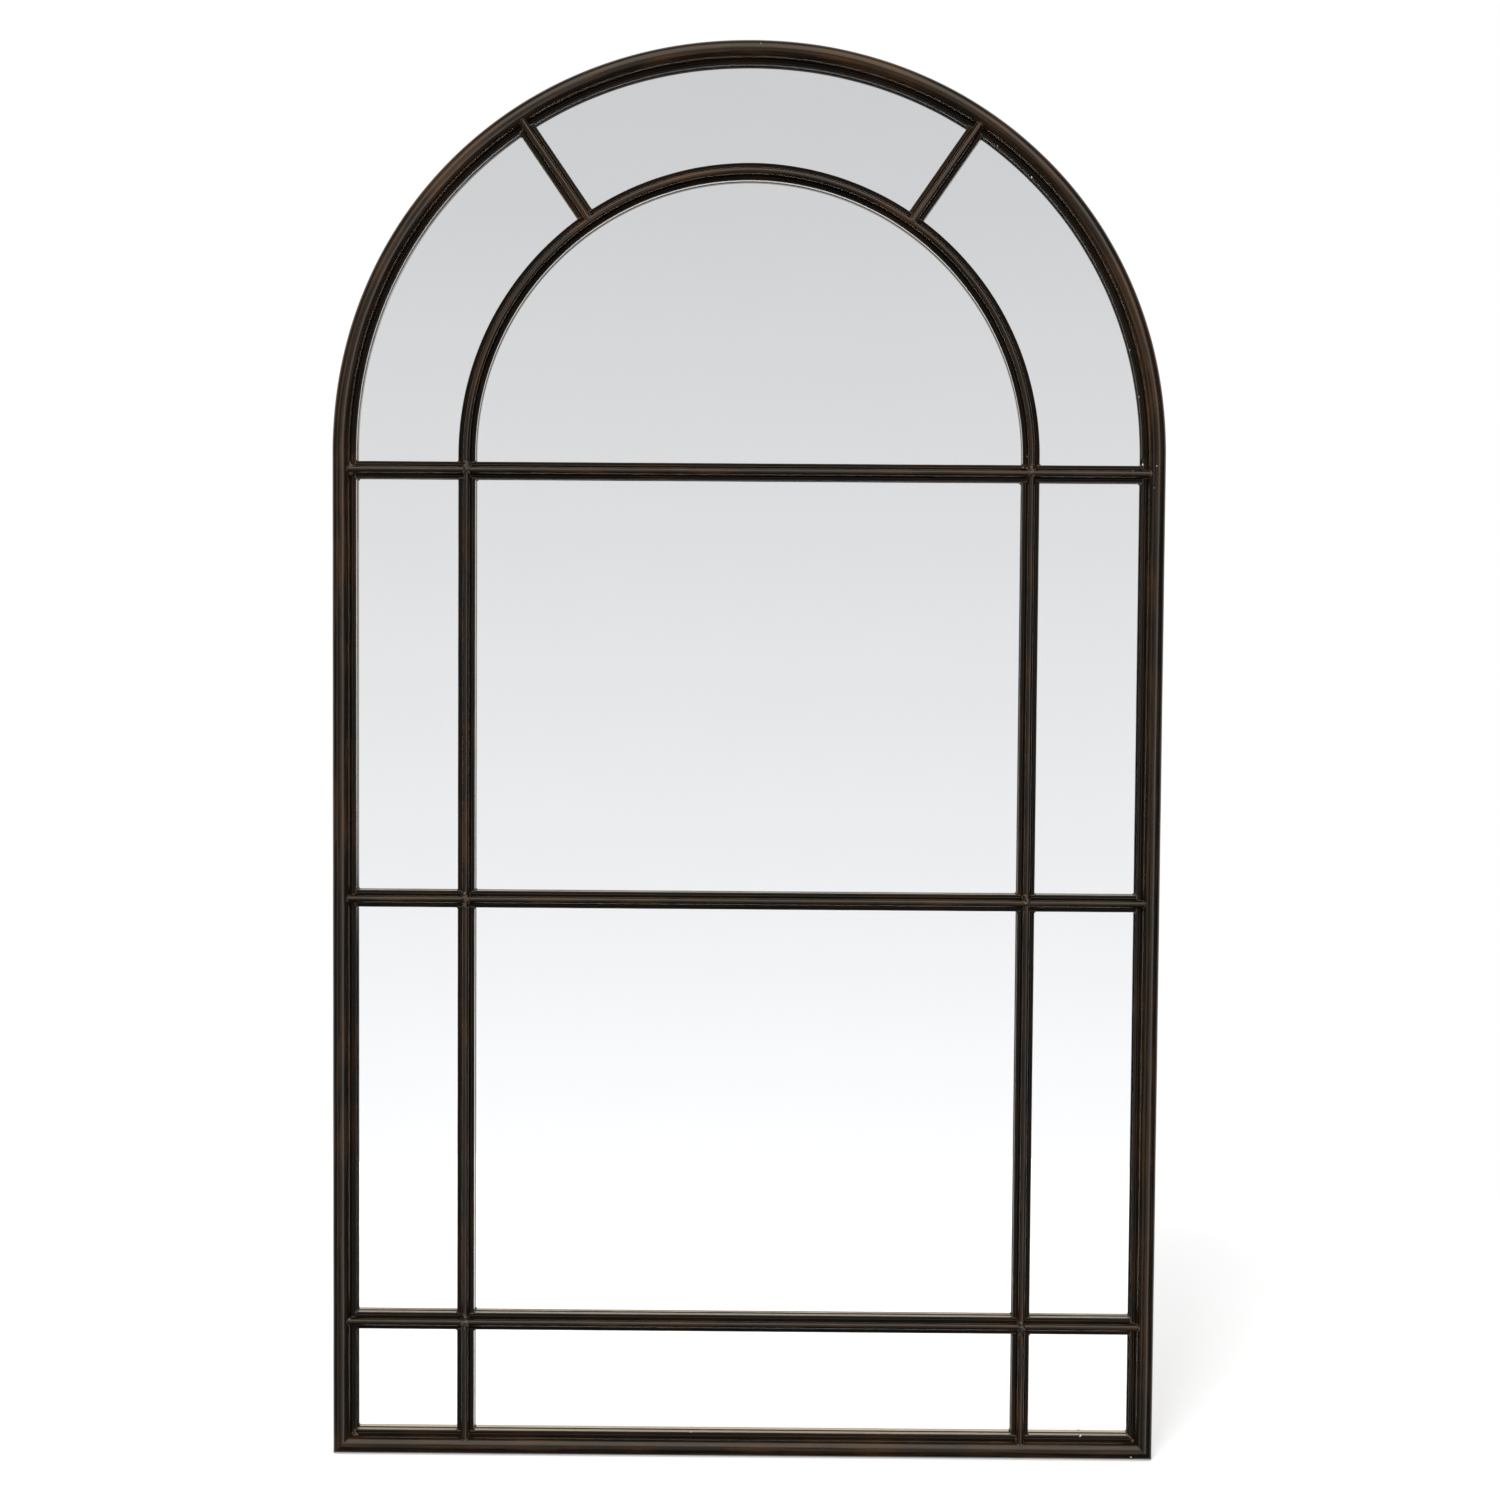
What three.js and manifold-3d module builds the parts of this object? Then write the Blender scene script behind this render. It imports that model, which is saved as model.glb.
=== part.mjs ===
// Arched window mirror: a welded steel window frame with a round-headed inner arch, glazed with thirteen
// cut mirror panes, backed by one arched board, and hung on the wall by two keyhole plates.
// Millimetres. X runs to the viewer's right, Z up, and the mirror faces -Y. The origin is the middle of
// the bottom edge, half way through the depth.
import * as THREE from 'three';
import { mergeVertices } from 'three/addons/utils/BufferGeometryUtils.js';
import Module from 'manifold-3d';

const wasm = await Module();
wasm.setup();

// Overall size
const width = 1050;
const straightHeight = 1277; // bottom edge up to where the arch springs
const archRise = 518; // the hand-bent arch is 7 mm flatter than a half circle
const archSquareness = 2.05; // exponent of the arch's curve, where 2 is an ellipse and more is squarer
const halfWidth = width / 2;

// Layout of the glazing bars
const marginSight = 129; // visible glass of the side panes, between frame and bar
const bottomSight = 131; // the same below the lower bar
const transomDrop = 19.5; // springing line down to the transom's middle
const barFace = 21.5;
const frameFace = 29.5;
const barCentreX = halfWidth - frameFace - marginSight - barFace / 2;
const transomZ = straightHeight - transomDrop;
const lowerBarZ = frameFace + bottomSight + barFace / 2;
const middleBarZ = (transomZ + lowerBarZ) / 2;
const spokeAngle = THREE.MathUtils.degToRad(34.6); // from the vertical

// Heights above the frame's rear face, towards the room
const frameCrest = 34;
const barCrest = 31;
const lipFront = 22;
const glassFront = 14;
const glassThickness = 4;
const boardThickness = 5;
const boardRear = glassFront - glassThickness - boardThickness - 0.3;
const bumperThickness = 6;

// Section of the outer frame, a rolled tube with a round bead and a glazing lip
const beadWidth = 22.5;
const rabbetInset = 23; // outer edge to the wall of the glass rebate
const tubeWall = 2;

// Section of the glazing bars, a solid tee with a narrow bead
const barBeadWidth = 9;
const stemWidth = 3;

// Details that both sections share
const lipCorner = 0.8;
const grooveDepth = 0.9;
const ridgeWidth = 2.2;
const grooveWidth = 1;

// Fits
const gap = 0.3; // between touching pieces
const paneClearance = 1.2; // between a pane's edge and the steel around it

// Fixings on the back
const screwRadius = 1.75;
const screwHoleRadius = 2.1;
const screwLength = 7;
const headRadius = 3.6;
const headHeight = 2.2;
const sinkRadius = 4.2; // mouth of a countersunk hole, whose sides are at 45 degrees
const sunkDepth = 0.2; // a countersunk head's top below the face around it
const clipWidth = 14;
const clipThickness = 1.5;
const clipFoot = 11; // how far a clip reaches in over the board
const clipPlay = 0.9; // between a clip's web and the rebate wall
const clipScrewInset = 14;
const clipHeights = { lower: 330, upper: 800 };
const railClipX = 250;
const archClipAngle = THREE.MathUtils.degToRad(49);
const plateWidth = 46;
const plateHeight = 44;
const plateThickness = 2;
const plateInset = 3; // frame's outer edge to the plate
const plateZ = 1180;
const plateScrewInset = 12;
const plateScrewSpacing = 26;
const keyholeInset = 37;
const keyholeRadius = 5;
const keySlotRadius = 2.5;
const keySlotLength = 12;
const bumperRadius = 7;
const bumperInset = 11.5;
const bumperHeights = { bottom: 90, top: 1080 };

// Smoothness
const archSteps = 40;
const innerArchSteps = 32;
const fanSteps = 14;
const roundSides = 12;
const beadSides = 10;
const barBeadSides = 6;
const overcut = 1; // how far a cutter runs past the face that it cuts through

const rearY = (frameCrest - gap - bumperThickness) / 2; // y of the frame's rear face
const front = new THREE.Vector3(0, -1, 0);

const steel = { color: 0x2b2219, roughness: 0.42, metalness: 0.75 };
const mirror = { color: 0xe6e8ea, roughness: 0.02, metalness: 1 };
const board = { color: 0x1d1b19, roughness: 0.9, metalness: 0 };
const zinc = { color: 0x9a9b98, roughness: 0.35, metalness: 0.9 };
const rubber = { color: 0x1a1a1a, roughness: 0.85, metalness: 0 };

const group = new THREE.Group();

// Puts a finished geometry into the group under its name.
function add(name, geometry, finish) {
  const mesh = new THREE.Mesh(geometry, new THREE.MeshStandardMaterial(finish));
  mesh.name = name;
  group.add(mesh);
  return mesh;
}

// --- Solids: three.js geometry to a closed solid for cutting, and back ---

function toSolid(geometry) {
  const bare = geometry.clone();
  bare.deleteAttribute('normal');
  bare.deleteAttribute('uv');
  const merged = mergeVertices(bare, 1e-3);
  const vertProperties = new Float32Array(merged.attributes.position.array);
  const triVerts = new Uint32Array(merged.index.array);
  return new wasm.Manifold(new wasm.Mesh({ numProp: 3, vertProperties, triVerts }));
}

function toGeometry(solid) {
  const mesh = solid.getMesh();
  const geometry = new THREE.BufferGeometry();
  geometry.setAttribute('position', new THREE.BufferAttribute(mesh.vertProperties, 3));
  geometry.setIndex(new THREE.BufferAttribute(mesh.triVerts, 1));
  geometry.computeVertexNormals();
  return geometry;
}

function cut(geometry, cutters) {
  const solid = cutters.reduce((left, cutter) => left.subtract(toSolid(cutter)), toSolid(geometry));
  return toGeometry(solid);
}

// --- Sections: x is the height above the frame's rear face, y the distance across the bar ---

// Points of an arc about (height, across), from one angle to another, in degrees. 0 degrees is up.
function arc(height, across, radius, from, to, steps) {
  return Array.from({ length: steps + 1 }, (_, i) => {
    const angle = THREE.MathUtils.degToRad(from + ((to - from) * i) / steps);
    return new THREE.Vector2(height + radius * Math.cos(angle), across + radius * Math.sin(angle));
  });
}

// The lip from the foot of the bead to its own edge: groove, fine ridge, groove, flat, round corner.
function lipPoints(foot, edge) {
  const ridge = foot + grooveWidth;
  const flat = ridge + ridgeWidth;
  const groove = lipFront - grooveDepth;
  return [
    new THREE.Vector2(groove, foot),
    new THREE.Vector2(groove, ridge - grooveWidth / 2),
    ...arc(groove, ridge + ridgeWidth / 2, ridgeWidth / 2, -50, 50, 2),
    new THREE.Vector2(groove, flat + grooveWidth / 2),
    new THREE.Vector2(lipFront, flat + grooveWidth),
    ...arc(lipFront - lipCorner, edge - lipCorner, lipCorner, 0, 90, 2),
    new THREE.Vector2(glassFront, edge),
  ];
}

// The same lip with no grooves, for the outline that a meeting bar is coped to.
function plainLipPoints(foot, edge) {
  return [
    new THREE.Vector2(lipFront, foot),
    new THREE.Vector2(lipFront, edge),
    new THREE.Vector2(glassFront, edge),
  ];
}

// Outer frame: side wall, half-round bead, lip, glass rebate and rear face.
function frameOutline(lip) {
  const radius = beadWidth / 2;
  return [
    new THREE.Vector2(0, 0),
    ...arc(frameCrest - radius, radius, radius, -90, 90, beadSides),
    ...lip(beadWidth, frameFace),
    new THREE.Vector2(glassFront, rabbetInset),
    new THREE.Vector2(0, rabbetInset),
  ];
}

// Glazing bar: a tee whose flange carries the bead and whose stem stands between two panes.
function barOutline(lip) {
  const radius = barBeadWidth / 2;
  const half = lip(radius, barFace / 2);
  const mirrored = half.map((p) => new THREE.Vector2(p.x, -p.y)).reverse();
  const stemRear = glassFront - glassThickness;
  return [
    new THREE.Vector2(stemRear, -stemWidth / 2),
    new THREE.Vector2(glassFront, -stemWidth / 2),
    ...mirrored,
    ...arc(barCrest - radius, 0, radius, -90, 90, barBeadSides),
    ...half,
    new THREE.Vector2(glassFront, stemWidth / 2),
    new THREE.Vector2(stemRear, stemWidth / 2),
  ];
}

// An outline grown by the gap: each corner moves out along the mean of its two edges' normals.
function grown(points) {
  return points.map((point, i) => {
    const before = points[(i + points.length - 1) % points.length];
    const after = points[(i + 1) % points.length];
    const normalIn = outward(before, point);
    const normalOut = outward(point, after);
    const mean = normalIn.clone().add(normalOut).normalize();
    return point.clone().addScaledVector(mean, gap / Math.max(0.5, mean.dot(normalIn)));
  });
}

function outward(from, to) {
  return new THREE.Vector2(to.y - from.y, from.x - to.x).normalize();
}

// The hollow inside the frame tube, one wall's thickness in from its faces.
function tubeHollow() {
  const radius = beadWidth / 2;
  return new THREE.Path([
    new THREE.Vector2(tubeWall, tubeWall),
    ...arc(frameCrest - radius, radius, radius - tubeWall, -90, 90, beadSides),
    new THREE.Vector2(tubeWall, rabbetInset - tubeWall),
  ]);
}

function hollowFrameShape() {
  const shape = new THREE.Shape(frameOutline(lipPoints));
  shape.holes.push(tubeHollow());
  return shape;
}

// --- Bars: a section carried along a straight line or along an arch ---

// The line runs so that the section's y axis, its inner side, lies to the right of it as seen in front.
function straightBar(shape, startX, startZ, endX, endZ) {
  const start = new THREE.Vector3(startX, rearY, startZ);
  const along = new THREE.Vector3(endX, rearY, endZ).sub(start);
  const geometry = new THREE.ExtrudeGeometry(shape, { depth: along.length(), bevelEnabled: false });
  along.normalize();
  const inward = new THREE.Vector3().crossVectors(along, front);
  geometry.applyMatrix4(new THREE.Matrix4().makeBasis(front, inward, along).setPosition(start));
  return geometry;
}

function archBar(shape, curve, steps) {
  return new THREE.ExtrudeGeometry(shape, { extrudePath: curve, steps, bevelEnabled: false });
}

// Point of the outer arch, moved in by inset. The angle runs from -90 degrees at the left springing
// over the crown to 90: x = a |sin|^(2/n) and z = b cos^(2/n), and the inset follows the curve's normal.
function archPoint(angle, inset = 0) {
  const power = 2 / archSquareness;
  const sine = Math.sin(angle);
  const x = halfWidth * Math.sign(sine) * Math.abs(sine) ** power;
  const z = archRise * Math.max(0, Math.cos(angle)) ** power;
  const slope = archSquareness - 1;
  const normal = new THREE.Vector2(
    (Math.sign(x) * Math.abs(x) ** slope) / halfWidth ** archSquareness,
    z ** slope / archRise ** archSquareness,
  ).normalize();
  return new THREE.Vector2(x - inset * normal.x, straightHeight + z - inset * normal.y);
}

class FrameArch extends THREE.Curve {
  getPoint(t, target = new THREE.Vector3()) {
    const point = archPoint(Math.PI * (t - 0.5));
    return target.set(point.x, rearY, point.y);
  }
}

// Half circle with a straight leg at each end, down to the transom.
class InnerArch extends THREE.Curve {
  getPoint(t, target = new THREE.Vector3()) {
    const leg = straightHeight - transomZ;
    const bend = Math.PI * barCentreX;
    const distance = t * (bend + 2 * leg) - leg;
    if (distance < 0) return target.set(-barCentreX, rearY, straightHeight + distance);
    if (distance > bend) return target.set(barCentreX, rearY, straightHeight - (distance - bend));
    const angle = distance / barCentreX - Math.PI / 2;
    const x = barCentreX * Math.sin(angle);
    return target.set(x, rearY, straightHeight + barCentreX * Math.cos(angle));
  }
}

// A plate with the given outline in X and Z, between two heights above the frame's rear face.
function plate(shape, low, high) {
  const geometry = new THREE.ExtrudeGeometry(shape, { depth: high - low, bevelEnabled: false });
  geometry.rotateX(Math.PI / 2);
  return geometry.translate(0, rearY - low, 0);
}

function outline(...corners) {
  return new THREE.Shape(corners.map(([x, z]) => new THREE.Vector2(x, z)));
}

// A round bar along Y at a place on the back, between two heights.
function roundPeg(x, z, radius, low, high) {
  const geometry = new THREE.CylinderGeometry(radius, radius, high - low, roundSides);
  return geometry.translate(x, rearY - (low + high) / 2, z);
}

// --- Fixing places on the frame: where each one is, and which way is inward there ---

function placeOnStile(side, z) {
  return { x: side * halfWidth, z, inwardX: -side, inwardZ: 0 };
}

function placeOnRail(x) {
  return { x, z: 0, inwardX: 0, inwardZ: 1 };
}

function placeOnArch(angle) {
  const edge = archPoint(angle);
  const inner = archPoint(angle, 1);
  return { x: edge.x, z: edge.y, inwardX: inner.x - edge.x, inwardZ: inner.y - edge.y };
}

function insetPoint(place, inset) {
  return { x: place.x + inset * place.inwardX, z: place.z + inset * place.inwardZ };
}

const clipPlaces = [
  { name: 'left_lower', member: 'stile_left', place: placeOnStile(-1, clipHeights.lower) },
  { name: 'left_upper', member: 'stile_left', place: placeOnStile(-1, clipHeights.upper) },
  { name: 'right_lower', member: 'stile_right', place: placeOnStile(1, clipHeights.lower) },
  { name: 'right_upper', member: 'stile_right', place: placeOnStile(1, clipHeights.upper) },
  { name: 'bottom_left', member: 'bottom_rail', place: placeOnRail(-railClipX) },
  { name: 'bottom_right', member: 'bottom_rail', place: placeOnRail(railClipX) },
  { name: 'arch_left', member: 'arch', place: placeOnArch(-archClipAngle) },
  { name: 'arch_crown', member: 'arch', place: placeOnArch(0) },
  { name: 'arch_right', member: 'arch', place: placeOnArch(archClipAngle) },
];

const platePlaces = [
  { name: 'left', member: 'stile_left', side: -1 },
  { name: 'right', member: 'stile_right', side: 1 },
];

function plateScrews({ side }) {
  const x = side * (halfWidth - plateScrewInset);
  return [
    { name: 'upper', x, z: plateZ + plateScrewSpacing / 2 },
    { name: 'lower', x, z: plateZ - plateScrewSpacing / 2 },
  ];
}

// Screw holes through the rear wall of one frame member.
function screwHoles(member) {
  const clips = clipPlaces.filter((clip) => clip.member === member);
  const plates = platePlaces.filter((hanger) => hanger.member === member);
  const centres = [
    ...clips.map((clip) => insetPoint(clip.place, clipScrewInset)),
    ...plates.flatMap(plateScrews),
  ];
  return centres.map(({ x, z }) => roundPeg(x, z, screwHoleRadius, -overcut, tubeWall + overcut));
}

// --- Outer frame: two stiles and a rail, mitred at the bottom corners, and the arch on top ---

const mitreReach = 60;
const mitreShift = (gap / 2) * Math.SQRT2;

// A wedge that takes away what lies past the mitre line of one bottom corner.
function mitreWedge(side, fromStile) {
  const shift = fromStile ? mitreShift : -mitreShift;
  const outer = [-mitreReach, -mitreReach + shift];
  const inner = [mitreReach, mitreReach + shift];
  const third = fromStile ? [mitreReach, -mitreReach] : [-mitreReach, mitreReach];
  const corners = [outer, inner, third].map(([x, z]) => [side * (halfWidth - x), z]);
  return plate(outline(...corners), -overcut, frameCrest + overcut);
}

function makeStile(name, side) {
  const x = side * halfWidth;
  const top = straightHeight - gap;
  const [startZ, endZ] = side < 0 ? [0, top] : [top, 0];
  const tube = straightBar(hollowFrameShape(), x, startZ, x, endZ);
  add('frame_' + name, cut(tube, [mitreWedge(side, true), ...screwHoles(name)]), steel);
}

makeStile('stile_left', -1);
makeStile('stile_right', 1);

const railTube = straightBar(hollowFrameShape(), halfWidth, 0, -halfWidth, 0);
const railCuts = [mitreWedge(-1, false), mitreWedge(1, false), ...screwHoles('bottom_rail')];
add('frame_bottom_rail', cut(railTube, railCuts), steel);

const archTube = archBar(hollowFrameShape(), new FrameArch(), archSteps);
add('frame_arch', cut(archTube, screwHoles('arch')), steel);

// --- Cutters that cope a bar's end to the piece it meets ---

const frameCutter = new THREE.Shape(grown(frameOutline(plainLipPoints)));
const barCutter = new THREE.Shape(grown(barOutline(plainLipPoints)));
const stileCutters = [
  straightBar(frameCutter, -halfWidth, 0, -halfWidth, straightHeight),
  straightBar(frameCutter, halfWidth, straightHeight, halfWidth, 0),
];
const railCutter = straightBar(frameCutter, halfWidth, 0, -halfWidth, 0);
const archCutter = archBar(frameCutter, new FrameArch(), archSteps);
const innerArchCutter = archBar(barCutter, new InnerArch(), innerArchSteps);
const barShape = new THREE.Shape(barOutline(lipPoints));
const barStart = halfWidth - beadWidth / 2; // a bar is drawn to the middle of the frame's bead, then coped

function crossBar(shape, z, reach) {
  return straightBar(shape, reach, z, -reach, z);
}

// --- Glazing bars ---

const crossBars = { transom_bar: transomZ, middle_bar: middleBarZ, lower_bar: lowerBarZ };
for (const [name, z] of Object.entries(crossBars)) {
  add(name, cut(crossBar(barShape, z, barStart), stileCutters), steel);
}

const uprightSpans = {
  upper: [middleBarZ, transomZ],
  middle: [lowerBarZ, middleBarZ],
  lower: [beadWidth / 2, lowerBarZ],
};
for (const [side, name] of [[-1, 'left'], [1, 'right']]) {
  const x = side * barCentreX;
  for (const [row, [low, high]] of Object.entries(uprightSpans)) {
    const ends = [low, high].map((z) => crossBar(barCutter, z, halfWidth));
    const cutters = row === 'lower' ? [railCutter, ends[1]] : ends;
    add(`upright_${name}_${row}`, cut(straightBar(barShape, x, low, x, high), cutters), steel);
  }
}

const innerArch = archBar(barShape, new InnerArch(), innerArchSteps);
add('inner_arch_bar', cut(innerArch, [crossBar(barCutter, transomZ, halfWidth)]), steel);

for (const [side, name] of [[-1, 'left'], [1, 'right']]) {
  const sine = side * Math.sin(spokeAngle);
  const cosine = Math.cos(spokeAngle);
  const [low, high] = [barCentreX, archRise - beadWidth / 2];
  const ends = [low, high].flatMap((r) => [r * sine, straightHeight + r * cosine]);
  const spoke = straightBar(barShape, ...ends);
  add('spoke_' + name, cut(spoke, [innerArchCutter, archCutter]), steel);
}

// --- Mirror panes, each cut to its own opening ---

const paneRear = glassFront - glassThickness;
const besideBar = stemWidth / 2 + paneClearance; // a bar's centre line to the pane's edge
const besideFrame = rabbetInset + paneClearance; // the frame's outer edge to the pane's edge

function addPane(name, shape) {
  add('pane_' + name, plate(shape, paneRear + gap / 2, glassFront - gap / 2), mirror);
}

const columns = {
  left: [-halfWidth + besideFrame, -barCentreX - besideBar],
  centre: [-barCentreX + besideBar, barCentreX - besideBar],
  right: [barCentreX + besideBar, halfWidth - besideFrame],
};
const rows = {
  upper: [middleBarZ + besideBar, transomZ - besideBar],
  middle: [lowerBarZ + besideBar, middleBarZ - besideBar],
  lower: [besideFrame, lowerBarZ - besideBar],
};
for (const [row, [low, high]] of Object.entries(rows)) {
  for (const [column, [left, right]] of Object.entries(columns)) {
    addPane(`${row}_${column}`, outline([left, low], [right, low], [right, high], [left, high]));
  }
}

const aboveTransom = transomZ + besideBar;
const insideArch = barCentreX - besideBar;
const outsideArch = barCentreX + besideBar;

// Points of a half circle about the springing line's middle, between two angles from the vertical.
function ringPoints(radius, from, to, steps) {
  return Array.from({ length: steps + 1 }, (_, i) => {
    const angle = from + ((to - from) * i) / steps;
    return [radius * Math.sin(angle), straightHeight + radius * Math.cos(angle)];
  });
}

// Points along the frame's glass rebate, between two angles of the arch.
function rebatePoints(from, to, steps) {
  return Array.from({ length: steps + 1 }, (_, i) => {
    const point = archPoint(from + ((to - from) * i) / steps, besideFrame);
    return [point.x, point.y];
  });
}

const quarter = Math.PI / 2;
addPane(
  'lunette',
  outline(
    [-insideArch, aboveTransom],
    ...ringPoints(insideArch, -quarter, quarter, innerArchSteps),
    [insideArch, aboveTransom],
  ),
);

// A pane's edge runs beside the spoke's stem, so at radius r its direction is asin(besideBar / r) off
// the spoke's.
const shiftOuter = Math.asin(besideBar / (archRise - besideFrame));
const shiftInner = Math.asin(besideBar / outsideArch);

// The curve's own angle for a point that lies in a given direction from the springing line's middle:
// x / z = (a / b) tan(angle)^(2/n).
function curveAngle(direction) {
  return Math.atan((Math.tan(direction) * archRise / halfWidth) ** (archSquareness / 2));
}

addPane(
  'fan_top',
  outline(
    ...rebatePoints(-curveAngle(spokeAngle - shiftOuter), curveAngle(spokeAngle - shiftOuter), fanSteps),
    ...ringPoints(outsideArch, spokeAngle - shiftInner, shiftInner - spokeAngle, fanSteps),
  ),
);

const fanLeft = [
  [-halfWidth + besideFrame, aboveTransom],
  ...rebatePoints(-quarter, -curveAngle(spokeAngle + shiftOuter), fanSteps),
  ...ringPoints(outsideArch, -spokeAngle - shiftInner, -quarter, fanSteps),
  [-outsideArch, aboveTransom],
];
addPane('fan_left', outline(...fanLeft));
addPane('fan_right', outline(...fanLeft.map(([x, z]) => [-x, z])));

// --- Backing board, one arched sheet in the frame's rebate ---

const boardHalf = halfWidth - besideFrame;
add(
  'backing_board',
  plate(
    outline(
      [-boardHalf, besideFrame],
      ...rebatePoints(-quarter, quarter, archSteps),
      [boardHalf, besideFrame],
    ),
    boardRear,
    boardRear + boardThickness,
  ),
  board,
);

// --- Fixings on the back ---

// A screw's shank points forward into the frame tube. Its profile is radius and distance behind the seat.
const shank = [
  [0, -screwLength],
  [screwRadius, -screwLength + screwRadius],
];
const panHead = [
  ...shank,
  [screwRadius, 0],
  [headRadius, 0],
  [headRadius, headHeight * 0.45],
  [headRadius * 0.72, headHeight * 0.88],
  [0, headHeight],
];
const sunkHead = [
  ...shank,
  [screwRadius, screwRadius - headRadius],
  [headRadius, 0],
  [0, 0],
];

function addScrew(name, profile, x, z, seat) {
  const points = profile.map(([r, h]) => new THREE.Vector2(r, h));
  const screw = new THREE.LatheGeometry(points, roundSides);
  add(name, screw.translate(x, rearY - seat, z), zinc);
}

// Offset clip: a flange on the frame's rear face, a web down the rebate, and a foot on the board.
function addClip(name, place) {
  const flangeFront = -gap;
  const web = rabbetInset + clipPlay;
  const foot = boardRear - gap;
  const profile = [
    [flangeFront, clipScrewInset - clipWidth / 2],
    [flangeFront, web],
    [foot, web],
    [foot, web + clipThickness + clipFoot],
    [foot - clipThickness, web + clipThickness + clipFoot],
    [foot - clipThickness, web + clipThickness],
    [flangeFront - clipThickness, web + clipThickness],
    [flangeFront - clipThickness, clipScrewInset - clipWidth / 2],
  ].map(([height, inset]) => new THREE.Vector2(height, inset));
  const alongX = -place.inwardZ;
  const alongZ = place.inwardX;
  const half = clipWidth / 2;
  const ends = [place.x - half * alongX, place.z - half * alongZ];
  const far = [place.x + half * alongX, place.z + half * alongZ];
  const strip = straightBar(new THREE.Shape(profile), ...ends, ...far);
  const { x, z } = insetPoint(place, clipScrewInset);
  const flangeRear = flangeFront - clipThickness;
  const hole = roundPeg(x, z, screwHoleRadius, flangeRear - overcut, flangeFront + overcut);
  add(`board_clip_${name}`, cut(strip, [hole]), zinc);
  addScrew(`clip_screw_${name}`, panHead, x, z, flangeRear - gap);
}

for (const { name, place } of clipPlaces) {
  addClip(name, place);
}

// A countersunk hole through a plate whose rear face is at the given height.
function sinkPeg(x, z, rear) {
  const length = plateThickness + 2 * overcut;
  const mouth = sinkRadius + overcut;
  const geometry = new THREE.CylinderGeometry(mouth, mouth - length, length, roundSides);
  return geometry.translate(x, rearY - rear - plateThickness / 2, z);
}

// Keyhole plate: screwed to the stile, reaching in over the recess so the wall screw's head has room.
function addHanger(hanger) {
  const { name, side } = hanger;
  const outerX = side * (halfWidth - plateInset);
  const innerX = outerX - side * plateWidth;
  const [low, high] = [plateZ - plateHeight / 2, plateZ + plateHeight / 2];
  const blank = outline([outerX, low], [innerX, low], [innerX, high], [outerX, high]);
  const rear = -gap - plateThickness;
  const keyX = side * (halfWidth - keyholeInset);
  const eyeZ = plateZ - keySlotLength / 2;
  const slotTop = eyeZ + keySlotLength;
  const slot = outline(
    [keyX - keySlotRadius, eyeZ],
    [keyX + keySlotRadius, eyeZ],
    [keyX + keySlotRadius, slotTop],
    [keyX - keySlotRadius, slotTop],
  );
  const through = [rear - overcut, overcut];
  const cutters = [
    ...plateScrews(hanger).map(({ x, z }) => sinkPeg(x, z, rear)),
    roundPeg(keyX, eyeZ, keyholeRadius, ...through),
    roundPeg(keyX, slotTop, keySlotRadius, ...through),
    plate(slot, ...through),
  ];
  add(`hanger_plate_${name}`, cut(plate(blank, rear, -gap), cutters), zinc);
  for (const screw of plateScrews(hanger)) {
    addScrew(`hanger_screw_${name}_${screw.name}`, sunkHead, screw.x, screw.z, rear + sunkDepth);
  }
}

for (const hanger of platePlaces) {
  addHanger(hanger);
}

// Rubber bumpers that hold the frame off the wall.
for (const [row, z] of Object.entries(bumperHeights)) {
  for (const { name, side } of platePlaces) {
    const x = side * (halfWidth - bumperInset);
    const bumper = roundPeg(x, z, bumperRadius, -gap - bumperThickness, -gap);
    add(`bumper_${row}_${name}`, bumper, rubber);
  }
}

export default group;
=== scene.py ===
import math
from functools import partial

import bpy
import numpy as np
from mathutils import Matrix, Vector
from mathutils.geometry import tessellate_polygon


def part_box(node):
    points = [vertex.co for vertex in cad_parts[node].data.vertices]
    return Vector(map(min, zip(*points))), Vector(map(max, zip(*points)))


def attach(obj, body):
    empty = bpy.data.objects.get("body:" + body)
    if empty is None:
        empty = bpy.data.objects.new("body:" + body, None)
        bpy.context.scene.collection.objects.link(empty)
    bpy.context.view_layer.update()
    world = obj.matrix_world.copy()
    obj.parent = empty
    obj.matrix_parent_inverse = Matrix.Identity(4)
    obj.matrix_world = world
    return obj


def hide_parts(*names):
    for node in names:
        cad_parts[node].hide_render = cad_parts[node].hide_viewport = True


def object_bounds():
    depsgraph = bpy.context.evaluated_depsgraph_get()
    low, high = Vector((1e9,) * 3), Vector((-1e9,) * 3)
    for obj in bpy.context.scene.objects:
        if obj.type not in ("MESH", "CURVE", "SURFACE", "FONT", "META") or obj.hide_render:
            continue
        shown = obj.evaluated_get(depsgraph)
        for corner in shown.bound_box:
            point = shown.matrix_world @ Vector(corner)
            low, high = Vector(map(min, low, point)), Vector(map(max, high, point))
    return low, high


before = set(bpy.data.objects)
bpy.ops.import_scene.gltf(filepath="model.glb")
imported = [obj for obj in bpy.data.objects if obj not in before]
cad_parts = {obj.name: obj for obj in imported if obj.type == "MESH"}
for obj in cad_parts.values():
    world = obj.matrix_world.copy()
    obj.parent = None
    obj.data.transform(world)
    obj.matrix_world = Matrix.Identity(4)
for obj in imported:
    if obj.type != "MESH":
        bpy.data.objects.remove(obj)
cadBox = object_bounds()
print("frame loaded:", len(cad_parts), "nodes")

mm = 0.001
scene = bpy.context.scene


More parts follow.
